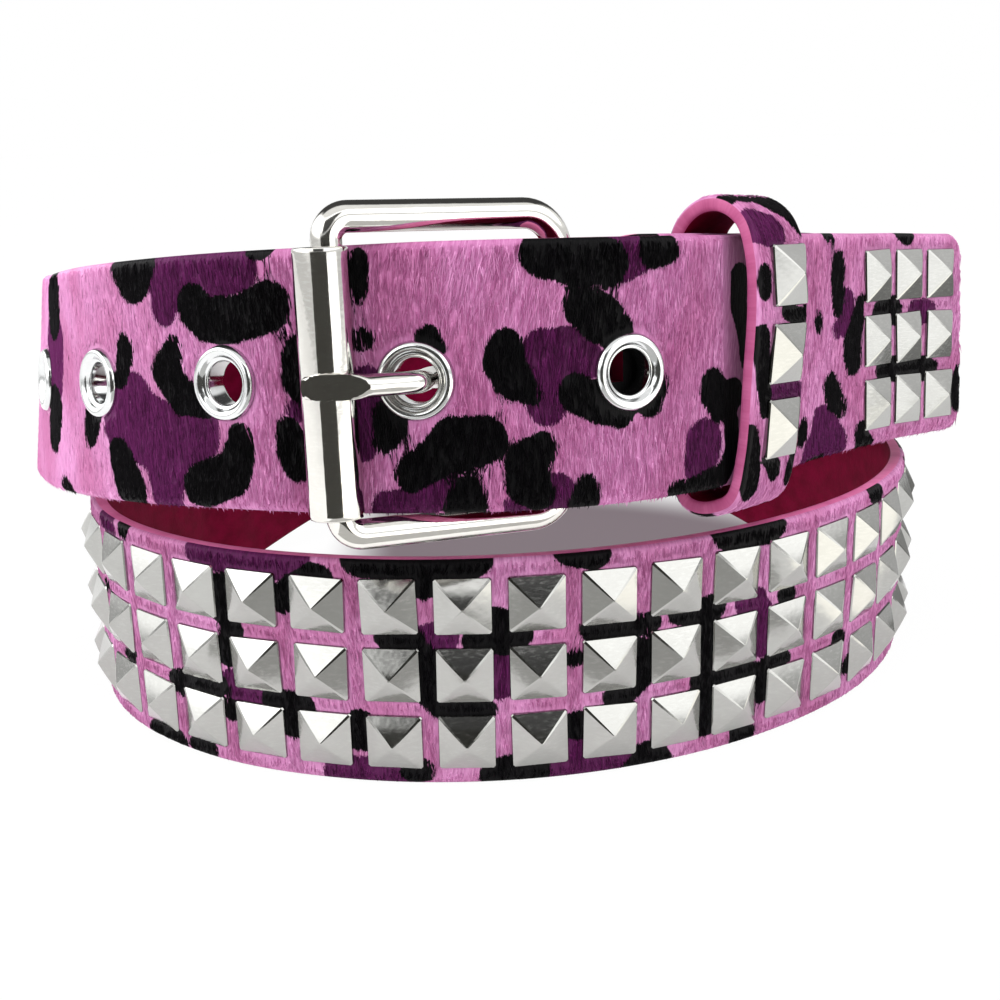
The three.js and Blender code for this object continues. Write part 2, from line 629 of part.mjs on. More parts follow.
// The keeper's leather at a share of its loop: out and up from the tail's middle, with the outward
// direction of its fur side.
function keeperPath() {
  const back = -(HALF_THICKNESS + LAYER_STEP + KEEPER_GAP + KEEPER_THICKNESS / 2);
  const crown = HALF_THICKNESS + KEEPER_PROUD + KEEPER_THICKNESS / 2;
  const edge = HALF_WIDTH + KEEPER_GAP + KEEPER_THICKNESS / 2;
  const points = KEEPER_LOOP.map(
    ({ across, up }) => new THREE.Vector3(THREE.MathUtils.lerp(back, crown, across), up * edge, 0),
  );
  return new THREE.CatmullRomCurve3(points, true, 'centripetal');
}

function keeperSpot(loop, share) {
  const point = loop.getPointAt(share);
  const tangent = loop.getTangentAt(share);
  return { out: point.x, up: point.y, awayOut: tangent.y, awayUp: -tangent.x };
}

function keeperSolid() {
  const loop = keeperPath();
  const stations = [0.5, 0, -0.5].map((share) => stationAt(KEEPER_FROM_TIP + share * KEEPER_WIDTH));
  const rings = [];
  for (let i = 0; i < KEEPER_SEGMENTS; i += 1) {
    const spot = keeperSpot(loop, i / KEEPER_SEGMENTS);
    const face = (station, side) => {
      const lift = (side * KEEPER_THICKNESS) / 2;
      return offset(station, spot.out + lift * spot.awayOut, spot.up + lift * spot.awayUp);
    };
    const outer = stations.map((station) => face(station, 1));
    const inner = stations.map((station) => face(station, -1));
    rings.push([...outer, ...inner.reverse()]);
  }
  return skin(rings, true);
}

// The place on the keeper's front where its leather passes a height.
function keeperSeat(up) {
  const loop = keeperPath();
  const station = stationAt(KEEPER_FROM_TIP - KEEPER_STUD_SHIFT);
  let best = keeperSpot(loop, 0);
  for (let i = 0; i <= 400; i += 1) {
    const spot = keeperSpot(loop, i / 400);
    const nearer = Math.abs(spot.up - up) < Math.abs(best.up - up);
    if (spot.out > HALF_THICKNESS && (nearer || best.out < HALF_THICKNESS)) best = spot;
  }
  const lift = KEEPER_THICKNESS / 2 + SEAT_GAP;
  const out = station.out.clone().multiplyScalar(best.awayOut).addScaledVector(station.up, best.awayUp);
  const across = out.clone().cross(station.along);
  const place = offset(station, best.out + lift * best.awayOut, best.up + lift * best.awayUp);
  return new THREE.Matrix4().makeBasis(station.along, across, out).setPosition(place);
}

// Assembly

const belt = new THREE.Group();
belt.add(node('strap', geometryFrom(strapSolid()), pinkHide()));
belt.add(node('keeper', geometryFrom(keeperSolid()), pinkHide()));
for (let row = 0; row < STUD_ROWS; row += 1) {
  const stud = node(`keeper_stud_${row + 1}`, studGeometry(0), nickel());
  stud.applyMatrix4(keeperSeat(rowOffset(row) + KEEPER_STUD_RISE));
  belt.add(stud);
}
for (let column = 0; column < TIP_COLUMNS; column += 1) {
  for (let row = 0; row < STUD_ROWS; row += 1) {
    const stud = node(`tip_stud_${column * STUD_ROWS + row + 1}`, studGeometry(0), nickel());
    const seat = facetSeat(tipColumn(column), STUD_COLUMN_PITCH / 2, rowOffset(row));
    stud.applyMatrix4(seat.multiply(new THREE.Matrix4().makeTranslation(0, 0, SEAT_GAP)));
    belt.add(stud);
  }
}
for (let number = 1; number <= EYELET_COUNT; number += 1) {
  const eyelet = node(`eyelet_${number}`, eyeletGeometry(), nickel());
  const seat = facetSeat(eyeletFromTip(number), EYELET_FLANGE + SEAT_GAP, 0);
  eyelet.applyMatrix4(seat.multiply(new THREE.Matrix4().makeTranslation(0, 0, -HALF_THICKNESS)));
  belt.add(eyelet);
}
belt.add(node('buckle_frame', geometryFrom(frameSolid()), nickel()));
belt.add(node('roller', geometryFrom(rollerSolid()), nickel()));
belt.add(node('prong', geometryFrom(prongSolid()), nickel()));

// The belt is centred over the origin and stands on Z = 0.
const bounds = new THREE.Box3().setFromObject(belt, true);
const centre = bounds.getCenter(new THREE.Vector3());
belt.position.set(-centre.x, -centre.y, -bounds.min.z);
belt.updateMatrixWorld(true);

const root = new THREE.Group();
root.add(belt);

export default root;
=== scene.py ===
import math

import bpy
import numpy as np
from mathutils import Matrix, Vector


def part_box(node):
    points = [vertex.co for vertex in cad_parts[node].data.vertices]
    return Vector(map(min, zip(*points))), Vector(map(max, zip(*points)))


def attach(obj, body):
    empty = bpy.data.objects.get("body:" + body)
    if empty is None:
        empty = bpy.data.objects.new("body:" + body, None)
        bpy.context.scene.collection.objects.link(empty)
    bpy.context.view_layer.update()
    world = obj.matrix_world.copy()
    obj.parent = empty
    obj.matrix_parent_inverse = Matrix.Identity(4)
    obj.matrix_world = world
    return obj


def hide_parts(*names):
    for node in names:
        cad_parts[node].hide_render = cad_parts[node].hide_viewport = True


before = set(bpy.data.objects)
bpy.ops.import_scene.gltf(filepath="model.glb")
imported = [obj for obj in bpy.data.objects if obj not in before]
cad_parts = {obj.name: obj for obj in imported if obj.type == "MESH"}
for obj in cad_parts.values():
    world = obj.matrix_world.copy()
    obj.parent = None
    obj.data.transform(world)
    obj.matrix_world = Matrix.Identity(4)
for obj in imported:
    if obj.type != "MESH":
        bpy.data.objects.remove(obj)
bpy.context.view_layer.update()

# Camera
# It stands in front of the buckle, a little above the belt, and looks slightly down. Lengths in this
# file are millimetres until a mesh or a light is placed in metres.
MM = 0.001
CAMERA_FROM_ROLLER = np.array([20.515, -177.899, 32.452])
CAMERA_PITCH, CAMERA_YAW, CAMERA_ROLL = np.radians([15.615, 0.905, -1.529])
LENS = 46.692
SENSOR = 36.0

forward = np.array([
    np.sin(CAMERA_YAW) * np.cos(CAMERA_PITCH),
    np.cos(CAMERA_YAW) * np.cos(CAMERA_PITCH),
    -np.sin(CAMERA_PITCH),
])
level_right = np.array([np.cos(CAMERA_YAW), -np.sin(CAMERA_YAW), 0.0])
level_up = np.cross(level_right, forward)
camera_right = level_right * np.cos(CAMERA_ROLL) + level_up * np.sin(CAMERA_ROLL)
camera_up = level_up * np.cos(CAMERA_ROLL) - level_right * np.sin(CAMERA_ROLL)
camera_matrix = np.eye(4)
camera_matrix[:3, 0] = camera_right
camera_matrix[:3, 1] = camera_up
camera_matrix[:3, 2] = -forward
roller_low, roller_high = (np.array(corner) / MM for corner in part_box("roller"))
camera_matrix[:3, 3] = ((roller_low + roller_high) / 2 + CAMERA_FROM_ROLLER) * MM

camera_data = bpy.data.cameras.new("camera")
camera_data.lens = LENS
camera_data.sensor_width = SENSOR
camera_data.clip_start = 0.01
camera = bpy.data.objects.new("camera", camera_data)
bpy.context.scene.collection.objects.link(camera)
camera.matrix_world = camera_matrix.T.tolist()
bpy.context.scene.camera = camera

# The strap's course
# One strap of pony hide, 38 mm wide and 3 mm thick with its lining, runs from the heel bar twice round
# the coil to its rounded tip. The course is the one that the solids follow, read from the tip.
STRAP_WIDTH = 38.0
STRAP_THICKNESS = 3.0
HALF_WIDTH = STRAP_WIDTH / 2
HALF_THICKNESS = STRAP_THICKNESS / 2
COIL_RADIUS = 80.0
TURN_RISE = STRAP_WIDTH + 11
UPPER_LEAN = 0.1
LAYER_STEP = STRAP_THICKNESS + 1.5
SEAT_GAP = 0.3
TIP_CORNER = 5.0
# angle round the coil, reach, layers inside, level, lean: the front first, which the tail passes again
# two turns on with no layer inside
FRONT = np.array([
    (-10, 1.076, 1, 0.996, 0.86),
    (0, 1.0765, 1, 1, 0.84),
    (10, 1.0534, 1, 0.994, 0.84),
    (20, 1.0035, 1, 0.98, 0.84),
    (30, 0.9458, 1, 0.961, 0.85),
    (40, 0.9045, 1, 0.945, 0.86),
    (50, 0.8925, 1, 0.929, 0.86),
])
ROUND = [
    (60, 0.913, 1.05, 0.906, 0.87),
    (75, 0.965, 1.4, 0.872, 0.85),
    (90, 1.015, 1.75, 0.82, 0.8),
    (110, 1.045, 2.05, 0.74, 0.6),
    (140, 1.053, 2.05, 0.59, 0.35),
    (180, 1.058, 2.05, 0.385, 0.1),
    (215, 1.058, 2.05, 0.18, 0),
    (236, 1.045, 2, 0.04, 0),
    (250, 0.945, 0, 0, 0),
    (270, 0.961, 0, 0, 0),
    (280, 0.991, 0, 0, 0),
    (300, 1.021, 0, 0, 0),
    (320, 1.0025, 0, 0, 0),
    (340, 0.961, 0, 0, 0),
    (360, 0.931, 0, 0, 0),
    (380, 0.92, 0, 0, 0),
    (400, 0.9334, 0, 0, 0),
    (420, 0.971, 0, 0, 0),
    (440, 1.01, 0, 0, 0),
    (460, 1.033, 0, 0, 0),
    (474, 1.042, 0, 0, 0),
    (495, 1.05, 0, 0.115, 0.2),
    (540, 1.058, 0, 0.4, 0.7),
    (585, 1.078, 0, 0.64, 1.2),
    (615, 1.098, 0, 0.745, 1.45),
    (630, 1.105, 0, 0.78, 1.5),
    (641, 1.097, 0, 0.805, 1.42),
    (650, 1.0756, 0, 0.832, 1.3),
    (670, 1.0618, 0, 0.906, 1.11),
    (690, 1.0573, 0, 0.963, 0.95),
    *(FRONT * (1, 1, 0, 1, 1) + (720, 0, 0, 0, 0)),
    (780, 0.913, 0, 0.91, 0.87),
    (790, 0.9729, 0, 0.892, 0.89),
    (797, 1.048, 0, 0.874, 0.9),
    (803, 1.142, 0, 0.858, 0.92),
]
COURSE = np.concatenate([FRONT, ROUND])
COURSE_STEP = 0.5


def follow(column, angle):
    """One column of COURSE at any angle: cubic steps between rows, with each row's slope taken from its
    neighbours, and no slope at a row that repeats a neighbour's value."""
    at, value = COURSE[:, 0], COURSE[:, column]
    last = len(at) - 1
    row = np.arange(last + 1)
    before, after = np.maximum(row - 1, 0), np.minimum(row + 1, last)
    repeats = (before != row) & (value[before] == value) | (after != row) & (value[after] == value)
    slope = np.where(repeats, 0.0, (value[after] - value[before]) / (at[after] - at[before]))
    k = np.clip(np.searchsorted(at, angle, side="right") - 1, 0, last - 1)
    span = at[k + 1] - at[k]
    t = (angle - at[k]) / span
    return (
        (2 * t**3 - 3 * t**2 + 1) * value[k]
        + (t**3 - 2 * t**2 + t) * span * slope[k]
        + (3 * t**2 - 2 * t**3) * value[k + 1]
        + (t**3 - t**2) * span * slope[k + 1]
    )


def middle_at(angle):
    """The middle of the strap's section: radius is reach times the coil's, less the layers it runs inside
    counted square to the strap, and height is half the width plus level times the rise."""
    outer = follow(1, angle) * COIL_RADIUS
    rise = (follow(1, angle + COURSE_STEP) - follow(1, angle - COURSE_STEP)) * COIL_RADIUS
    slant = rise / (outer * np.radians(2 * COURSE_STEP))
    radius = outer - follow(2, angle) * LAYER_STEP * np.hypot(1, slant)
    turn = np.radians(angle)
    height = HALF_WIDTH + TURN_RISE * follow(3, angle)
    return np.stack([radius * np.sin(turn), -radius * np.cos(turn), height], -1)


def unit(vectors):
    """Vectors divided by their lengths."""
    return vectors / np.linalg.norm(vectors, axis=-1, keepdims=True)


def dot(a, b):
    """Dot products that keep their last axis, ready to scale vectors."""
    return np.sum(a * b, -1, keepdims=True)


course_angles = np.arange(COURSE[-1, 0], COURSE[0, 0] - 0.01, -COURSE_STEP)
course_steps = np.linalg.norm(np.diff(middle_at(course_angles), axis=0), axis=1)
course_lengths = np.concatenate([[0.0], np.cumsum(course_steps)])


def angle_at(from_tip):
    """The angle round the coil at a distance from the tip."""
    return np.interp(from_tip, course_lengths, course_angles)


def from_tip_at(angle):
    """The distance from the tip at an angle round the coil."""
    return np.interp(-np.asarray(angle), -course_angles, course_lengths)


def station(from_tip):
    """Middle, along (to the tip), out (fur side) and up of the strap at distances from its tip."""
    angle = angle_at(np.asarray(from_tip, float))
    middle = middle_at(angle)
    along = unit(middle_at(angle + COURSE_STEP / 2) - middle_at(angle - COURSE_STEP / 2))
    flat_out = unit(np.stack([along[..., 1], -along[..., 0], 0 * along[..., 0]], -1))
    up = np.array([0.0, 0.0, 1.0]) - UPPER_LEAN * follow(4, angle)[..., None] * flat_out
    up = unit(up - along * dot(up, along))
    return middle + belt_shift, along, np.cross(along, up), up


EYELET_COUNT = 6
FIRST_EYELET = 102.65
EYELET_PITCH = 30.3
EYELET_PLACES = FIRST_EYELET + EYELET_PITCH * np.arange(EYELET_COUNT)
IN_USE = EYELET_PLACES[1]
ROLLER_FROM_EYELET = 10.8
HEEL_FROM_EYELET = 22.4
ROLLER_RADIUS = 3.7
ROLLER_PLACE = IN_USE + ROLLER_FROM_EYELET
ROLLER_OUT = HALF_THICKNESS + SEAT_GAP + ROLLER_RADIUS

# The solids were centred over the origin: the roller shows by how much.
belt_shift = np.zeros(3)
roller_middle, roller_along, roller_out, roller_up = station(ROLLER_PLACE)
roller_centre = roller_middle + roller_out * ROLLER_OUT
belt_shift = (roller_low + roller_high) / 2 - roller_centre
belt_shift[2] = 0.0
roller_centre = roller_centre + belt_shift

# The strap's end: the fold round the heel bar and the layer bonded behind
# Two whole turns below the tail the hide folds round the buckle's heel bar and is bonded to its own
# back, past a pocket that the keeper's back run lies in.
WIRE_RADIUS = 2.2
FOLD_RADIUS = WIRE_RADIUS + SEAT_GAP + HALF_THICKNESS
FOLD_TAPER = 2.0
FOLD_TAPER_LENGTH = 12.0
FOLD_BOND_LENGTH = 22.0
KEEPER_PLACE = 77.0
KEEPER_WIDTH = 14.3
KEEPER_THICKNESS = 2.3
KEEPER_GAP = 0.6
BOND_DEPTH = STRAP_THICKNESS - 0.3
POCKET_DEPTH = STRAP_THICKNESS + KEEPER_THICKNESS + 3 * KEEPER_GAP

heel_end = float(from_tip_at(angle_at(IN_USE - HEEL_FROM_EYELET) - 720))
keeper_from_heel = heel_end - float(from_tip_at(angle_at(KEEPER_PLACE) - 720))
fold_end = heel_end + math.pi * FOLD_RADIUS
bond_closes = keeper_from_heel + KEEPER_WIDTH / 2 + KEEPER_GAP
strap_end = fold_end + bond_closes + FOLD_BOND_LENGTH


def smoothstep(value, low, high):
    """0 below low, 1 above high and 3t^2 - 2t^3 between."""
    t = np.clip((value - low) / (high - low), 0, 1)
    return t * t * (3 - 2 * t)


def half_width_at(from_tip):
    """Half the strap's width: quarter circles at the tip's corners and a slight taper at the fold."""
    into = np.clip(TIP_CORNER - from_tip, 0, TIP_CORNER)
    taper = FOLD_TAPER * smoothstep(from_tip, heel_end - FOLD_TAPER_LENGTH, heel_end)
    bonded = 0.3 * smoothstep(from_tip, heel_end + 2, fold_end)
    return HALF_WIDTH - TIP_CORNER + np.sqrt(TIP_CORNER**2 - into**2) - taper - bonded


def rail(run):
    """Middle, along, out and up all the way to the strap's bonded end: the course to the heel, a half
    circle round the heel bar, then back behind the course at a depth that closes from the fold's width
    over the keeper's pocket to a bonded layer."""
    run = np.asarray(run, float)
    behind = np.clip(run - fold_end, 0, None)
    place = np.where(run < heel_end, run, heel_end - behind)
    middle, along, out, up = station(place)
    swing = (np.clip(run, heel_end, fold_end) - heel_end)[..., None] / FOLD_RADIUS
    opened = smoothstep(behind, 0, keeper_from_heel - KEEPER_WIDTH / 2)
    shut = smoothstep(behind, bond_closes, bond_closes + 0.6 * FOLD_BOND_LENGTH)
    depth = 2 * FOLD_RADIUS + (POCKET_DEPTH - 2 * FOLD_RADIUS) * opened
    depth = depth + (BOND_DEPTH - depth) * shut
    folded_out = out * np.cos(swing) - along * np.sin(swing)
    folded_along = along * np.cos(swing) + out * np.sin(swing)
    arc = middle - out * FOLD_RADIUS + folded_out * FOLD_RADIUS
    back = middle - out * depth[..., None]
    on_arc = ((run >= heel_end) & (run <= fold_end))[..., None]
    on_back = (run > fold_end)[..., None]
    return np.where(on_back, back, np.where(on_arc, arc, middle)), folded_along, folded_out, up


# The strap's print
# Leopard spots of black with purple hearts are printed on the pink hair. Each spot is a chain of round
# blots, written as distance from the tip, height over the strap's middle line and radius. The two
# charts cover the tail and one front of the lower turn; the rest repeats them, turned and shifted.
TAIL_BLACK = [
    [(181.5, 16.5, 4), (183.5, 18, 3.2), (179, 18, 2.7)],
    [(168.5, 11.5, 3), (166, 9.5, 3.2), (162, 9, 3.2), (157.5, 10, 3.2), (154.5, 11, 3.5)],
    [(185, 6, 1.7), (185.5, 3, 1.7), (187, 0.5, 1.2)],
    [(196.5, -6, 2), (197, -8, 1.7), (198.5, -10, 0.8)],
    [(173, 5.5, 1.5), (175.5, 2, 2.7), (172, -2, 2.7), (167.5, -3, 2)],
    [(188.5, -11, 2.2), (186.5, -14.5, 3), (185.5, -17, 3.2)],
    [(161, -8, 2), (161.5, -10.5, 2.7), (163, -13.5, 3.2), (169.5, -15.5, 3.2)],
    [(150, 4, 2.5), (150, 0.5, 3)],
    [(152.5, -7, 2), (152, -9.5, 2.7), (151.5, -12, 2.2)],
    [(157, 19, 0.8), (155.5, 19, 1.2), (154, 19, 0.8)],
    [(210.5, -17.5, 1.2), (208, -19, 1.5)],
    [(216.5, 14.5, 4.6), (215.5, 11, 3.6)],
    [(216, -5, 4.2), (216.5, -9.5, 2.8)],
    [(140, 17, 1.2), (140, 14, 1.2), (140.5, 12, 1)],
    [(140.5, 6, 1.5), (139.5, 6, 1.2)],
    [(137, -5, 2.2), (136.5, -7, 2), (138, -8.5, 1.5)],
    [(131, 6, 1.5), (130, 4.5, 1.2)],
    [(115, 17, 3.2), (110, 16, 3.5), (106, 15.5, 3)],
    [(110, 9.5, 2.5), (107.5, 8, 3.2), (105, 6, 2.7)],
    [(120.5, 4.5, 2.2), (121, 2, 2.5), (119.5, -0.5, 2.5), (117, -2.5, 1.2)],
    [(111, -2.5, 2.5), (107.5, -4, 2.7), (104.5, -5.5, 2.2)],
    [(99.5, -4, 2.5), (98, -2, 1.7)],
    [(124, -8.5, 3.2), (127.5, -9, 3.7), (130.5, -11, 2.7), (134.5, -13.5, 2.2)],
    [(126, -16, 2.2), (127.5, -18.5, 2.2), (125, -19, 1.5)],
    [(115.5, -10, 2), (118, -11.5, 2.7), (118, -15, 3), (116.5, -16.5, 2.2)],
    [(109.5, -16, 1.7), (110, -18.5, 2)],
    [(98.5, 17, 2.5), (96, 17, 2)],
    [(79.5, 12.5, 2.2), (80, 8.5, 2), (78.5, 4.5, 1.7), (78, 0, 1.5)],
    [(87, -3.5, 2.7), (85.5, -5.5, 3), (81.5, -5, 2.2)],
    [(82.5, -9, 1.7), (82, -13.5, 1.5), (85, -17, 1.7), (91.5, -18.5, 1.7), (95, -18, 1.2)],
    [(49.5, 18.5, 1)],
    [(21, 19, 2)],
    [(46, 14.5, 1.5), (46.5, 11, 1.5), (46, 6, 1.2)],
    [(53.5, 5, 1), (53.5, 3.5, 1)],
    [(37.5, 7.5, 0.8), (39, 3.5, 1.5), (41, -0.5, 2.2), (40.5, -3.5, 2)],
    [(49.5, -6.5, 1.7), (48, -9, 2.2), (45, -11, 1.5)],
    [(37.5, -16, 1.7), (36, -19, 2)],
    [(57, -20, 1.2), (52.5, -19.5, 1)],
    [(59.5, -12.5, 1.2), (60.5, -14.5, 1.5)],
    [(26, 5, 2.5), (30.5, 5, 1.5)],
    [(28.5, -5.5, 2), (21.5, -6, 2.2), (12, -6.5, 2)],
    [(1, -8, 1.5), (1, -11, 2.2), (1, -14, 1.5)],
]
TAIL_PURPLE = [
    [(216, 7, 5), (216.5, 0, 4.6)],
    [(173.5, 16, 3.7), (165.5, 16.5, 4), (159.5, 16.5, 3)],
    [(174, 13, 2.7), (174.5, 11.5, 2.2)],
    [(183, -1.5, 2.7), (184.5, -6, 5.7), (176, -8.5, 5), (169.5, -7.5, 4)],
    [(176.5, -12.5, 3.7), (177, -17.5, 2.7)],
    [(151, -4, 1.2)],
    [(140, 0, 1.7), (140.5, -4.5, 2), (141, -9, 1.7)],
    [(103.5, 16.5, 3.2), (101, 17, 2.5)],
    [(115.5, 3.5, 2.5), (112, 3.5, 2.7), (110, 2, 2.5)],
    [(114, -0.5, 2.7), (115, -4, 2.2)],
    [(130.5, -15, 2.7), (133.5, -17.5, 2.2), (138, -18, 1.7)],
    [(114, -16.5, 2.2), (112.5, -17.5, 1.7)],
    [(119.5, -18, 1.2)],
    [(89, -12, 3.5), (90, -15.5, 2.5)],
    [(43, 7.5, 1.5), (43, 3.5, 1.5), (47, 2.5, 0.8)],
    [(52.5, -13.5, 3), (50.5, -17.5, 4.5), (57, -18, 2.5)],
    [(16.5, 4.5, 1.7), (12.5, 4.5, 1.5)],
]
TURN_BLACK = [
    [(747, 1, 1.5), (744, -2, 1.2)],
    [(735, 12, 1.5), (737, 9, 1.2)],
    [(719, 19.5, 1.5), (719, 17.5, 1)],
    [(677.5, 16, 2), (683.5, 12.5, 1.7)],
    [(669.5, 19, 2.7), (665, 18.5, 2.2), (658.5, 18.5, 2.5), (653, 18.5, 2.2)],
    [(694.5, 13.5, 1.5), (695, 8, 1.5)],
    [(683.5, 11, 1.5)],
    [(693, 5.5, 1.5), (694.5, 0.5, 1.5)],
    [(666, 6, 1.7), (663, 6, 2)],
    [(721, -5.5, 1.7)],
    [(705.5, -6.5, 2.2), (697.5, -5, 2)],
    [(694.5, -9, 1.7)],
    [(685.5, -6, 2), (682, -6.5, 2.2), (683, -10.5, 1.5)],
    [(671.5, -11, 2.2), (671.5, -8, 1.5)],
    [(713, -18, 2.2), (707, -17.5, 1.2)],
    [(701.5, -17.5, 2.2)],
    [(729.5, 5, 1.2)],
    [(660.5, 15, 2)],
    [(649.5, 9, 2), (647.5, 6, 2.5), (652, 5.5, 2)],
    [(638, 19, 1.5), (634.5, 18.5, 2.2)],
    [(660.5, 2.5, 2), (661, -2, 2), (657, -6, 2), (652, -6, 1.7)],
    [(633.5, 6, 2), (630, 6, 1.5), (625, 6, 1.5)],
    [(626.5, 1.5, 2), (626.5, -3, 2), (630, -6, 2)],
    [(637.5, 1.5, 1.2)],
    [(637, -10, 2.2)],
    [(615.5, 6, 2.5), (614, -1, 1.7), (614.5, -8.5, 2.2), (614.5, -13.5, 2.2)],
    [(662.5, -16.5, 2)],
    [(648.5, -17.5, 3), (645, -17, 2.5)],
    [(625, -17.5, 2.7), (627, -19, 1.7)],
    [(609, 19, 3.2), (602, 18.5, 2.7)],
    [(569, 17, 1.5), (572, 18, 1.2)],
    [(545, 16, 2.2)],
    [(614, 6.5, 2.2), (619, 6.5, 1.7)],
    [(597.5, 5.5, 1.5)],
    [(614.5, 1, 2), (614.5, -5, 2), (608, -6.5, 2), (603, -7, 1.7)],
    [(598.5, -6, 1.7), (601, -6, 1.7)],
    [(603, -10.5, 2)],
    [(607, -17.5, 2)],
    [(625, -17.5, 2), (622.5, -18.5, 1.2)],
    [(582.5, -6.5, 1.5)],
    [(579, -12.5, 1.7)],
]
TURN_PURPLE = [
    [(727.5, 19, 1.5), (725, 17, 1.5)],
    [(698, 18, 2.2), (689.5, 18, 2.5), (682.5, 18, 2.5)],
    [(693, -4.5, 2.2), (689, -5, 1.5)],
    [(674, -18, 2.7), (668.5, -17.5, 2.7), (666, -18, 2)],
    [(659, 6, 2.2)],
    [(649, 1.5, 2), (649.5, -2, 1.7)],
    [(660, 4, 2)],
    [(627.5, 6, 1.5)],
    [(640.5, -17.5, 2.7), (635.5, -17.5, 2.7), (631, -17, 2.2), (637.5, -14, 1.5)],
    [(605.5, 6, 2), (602.5, 2, 1.7), (603, -2, 1.7)],
    [(609, -6, 1.2)],
]
BLACK_SPREAD = 0.35
PURPLE_SPREAD = 0.75
PRINT_SEED = 11
TURN_CHART = (545.0, 747.0)
TAIL_CHART = (0.0, 236.0)


def chart_everywhere(tail, turn):
    """All chains of one colour: the two charts where they lie, then copies mirrored or shifted along the
    strap until the whole length has its spots."""
    placed = tail + turn
    start, end = TURN_CHART
    copies = [
        (tail, -1, 2 * TAIL_CHART[1] + 1),
        (turn, 1, 470 - start),
        (turn, -1, 2 * end),
        (tail, 1, 951),
        (turn, -1, 1188 + end),
    ]
    for chains, sign, shift in copies:
        moved = [[(sign * s + shift, v, r) for s, v, r in chain] for chain in chains]
        placed = placed + [chain for chain in moved if not start < chain[0][0] < end]
    return placed


def spot_distance(chains, along, across, reach=6.0):
    """Distance in millimetres from points to the nearest spot's border, below 0 inside it: a spot is a
    chain of cones between its blots, which are round in the middle of the tail and longer at its ends."""
    order = np.argsort(along)
    line, height = along[order], across[order]
    longer = 1.45 - 0.45 * smoothstep(line, 42, 70) + 0.3 * smoothstep(line, 172, 200)
    nearest = np.full(len(along), reach)
    for chain in chains:
        links = list(zip(chain, chain[1:])) or [(chain[0], chain[0])]
        for (s0, v0, r0), (s1, v1, r1) in links:
            low = np.searchsorted(line, min(s0 - r0, s1 - r1) - reach)
            high = np.searchsorted(line, max(s0 + r0, s1 + r1) + reach)
            ds, dv = line[low:high] - s0, height[low:high] - v0
            span = (s1 - s0) ** 2 + (v1 - v0) ** 2
            t = np.clip((ds * (s1 - s0) + dv * (v1 - v0)) / max(span, 1e-6), 0, 1)
            beside = (ds - t * (s1 - s0)) / longer[low:high]
            gap = np.hypot(beside, dv - t * (v1 - v0)) - (r0 + t * (r1 - r0))
            nearest[low:high] = np.minimum(nearest[low:high], gap)
    result = np.empty_like(nearest)
    result[order] = nearest
    return result


behind_eyelet = float(from_tip_at(angle_at(FIRST_EYELET) - 720))
black_chains = chart_everywhere(TAIL_BLACK, TURN_BLACK)
black_chains = black_chains + [[(behind_eyelet - 4, 0, 6), (behind_eyelet + 4, 0, 6)]]
purple_chains = chart_everywhere(TAIL_PURPLE, TURN_PURPLE)


def ripple(first, second, seed, size=1.0):
    """A smooth random wave from -1 to 1 over two coordinates: the mean of six sines with seeded
    directions, lengths near size and phases."""
    draw = np.random.default_rng(seed)
    turn, phase = draw.uniform(0, 2 * np.pi, (2, 6))
    pace = draw.uniform(0.6, 1.6, 6) * 2 * np.pi / size
    waves = [
        np.sin(pace[i] * (first * np.cos(turn[i]) + second * np.sin(turn[i])) + phase[i]) for i in range(6)
    ]
    return np.mean(waves, 0)


def print_on(along, across):
    """Black and purple distances on the strap, with each border worn a little by a fine ripple."""
    wear = 0.3 * ripple(along, across, PRINT_SEED, 5.0) + 0.15 * ripple(along, across, PRINT_SEED + 1, 2.2)
    black = spot_distance(black_chains, along, across) + wear - BLACK_SPREAD
    purple = spot_distance(purple_chains, along, across) + wear - PURPLE_SPREAD
    return black, purple


# How the hair lies: mostly down the strap's width, combed towards the middle of each front.
COMB_PLACES = [0, 117, 235, 300, 390, 545, 646, 747, 850, 950, 1060]
COMB_ANGLES = [-22, -4, 22, 14, -8, -24, -2, 22, 10, -8, 0]


def comb_angle(along, across):
    """The hair's angle off the strap's width, from the places above and a slow ripple."""
    return np.radians(np.interp(along, COMB_PLACES, COMB_ANGLES) + 7 * ripple(along, across, 5, 60.0))


# The strap
# Pony hide with a pink painted edge over a crimson leather lining, cut, edged and glued in one length.
# Eyelet holes and the prong's slot go right through it.
FACE_COLUMNS = 33
RUN_STEP = 1.2
HOLE_RADIUS = 4.3
SLOT_HALF = 2.4
SLOT_REACH = FOLD_RADIUS + HALF_THICKNESS + 1.6 + 0.8
# inset from the edge and height over the middle of the thickness, round the edge from fur to lining
EDGE_PROFILE = [
    (0.95, 1.5), (0.5, 1.42), (0.18, 1.16), (0.02, 0.78), (0, 0.2), (0, -0.45), (0.1, -1.05), (0.5, -1.46),
]
# The part of that profile that is painted leather: fur above it, lining below.
EDGE_LEATHER = (3, 6)
USUAL_TONE = 0.45


def face_drop(across, half_width):
    """How far the fur face falls below its flat height near the strap's edges."""
    inset = np.clip(half_width - np.abs(across), 0, 0.95)
    return 0.72 * (1 - inset / 0.95) ** 2


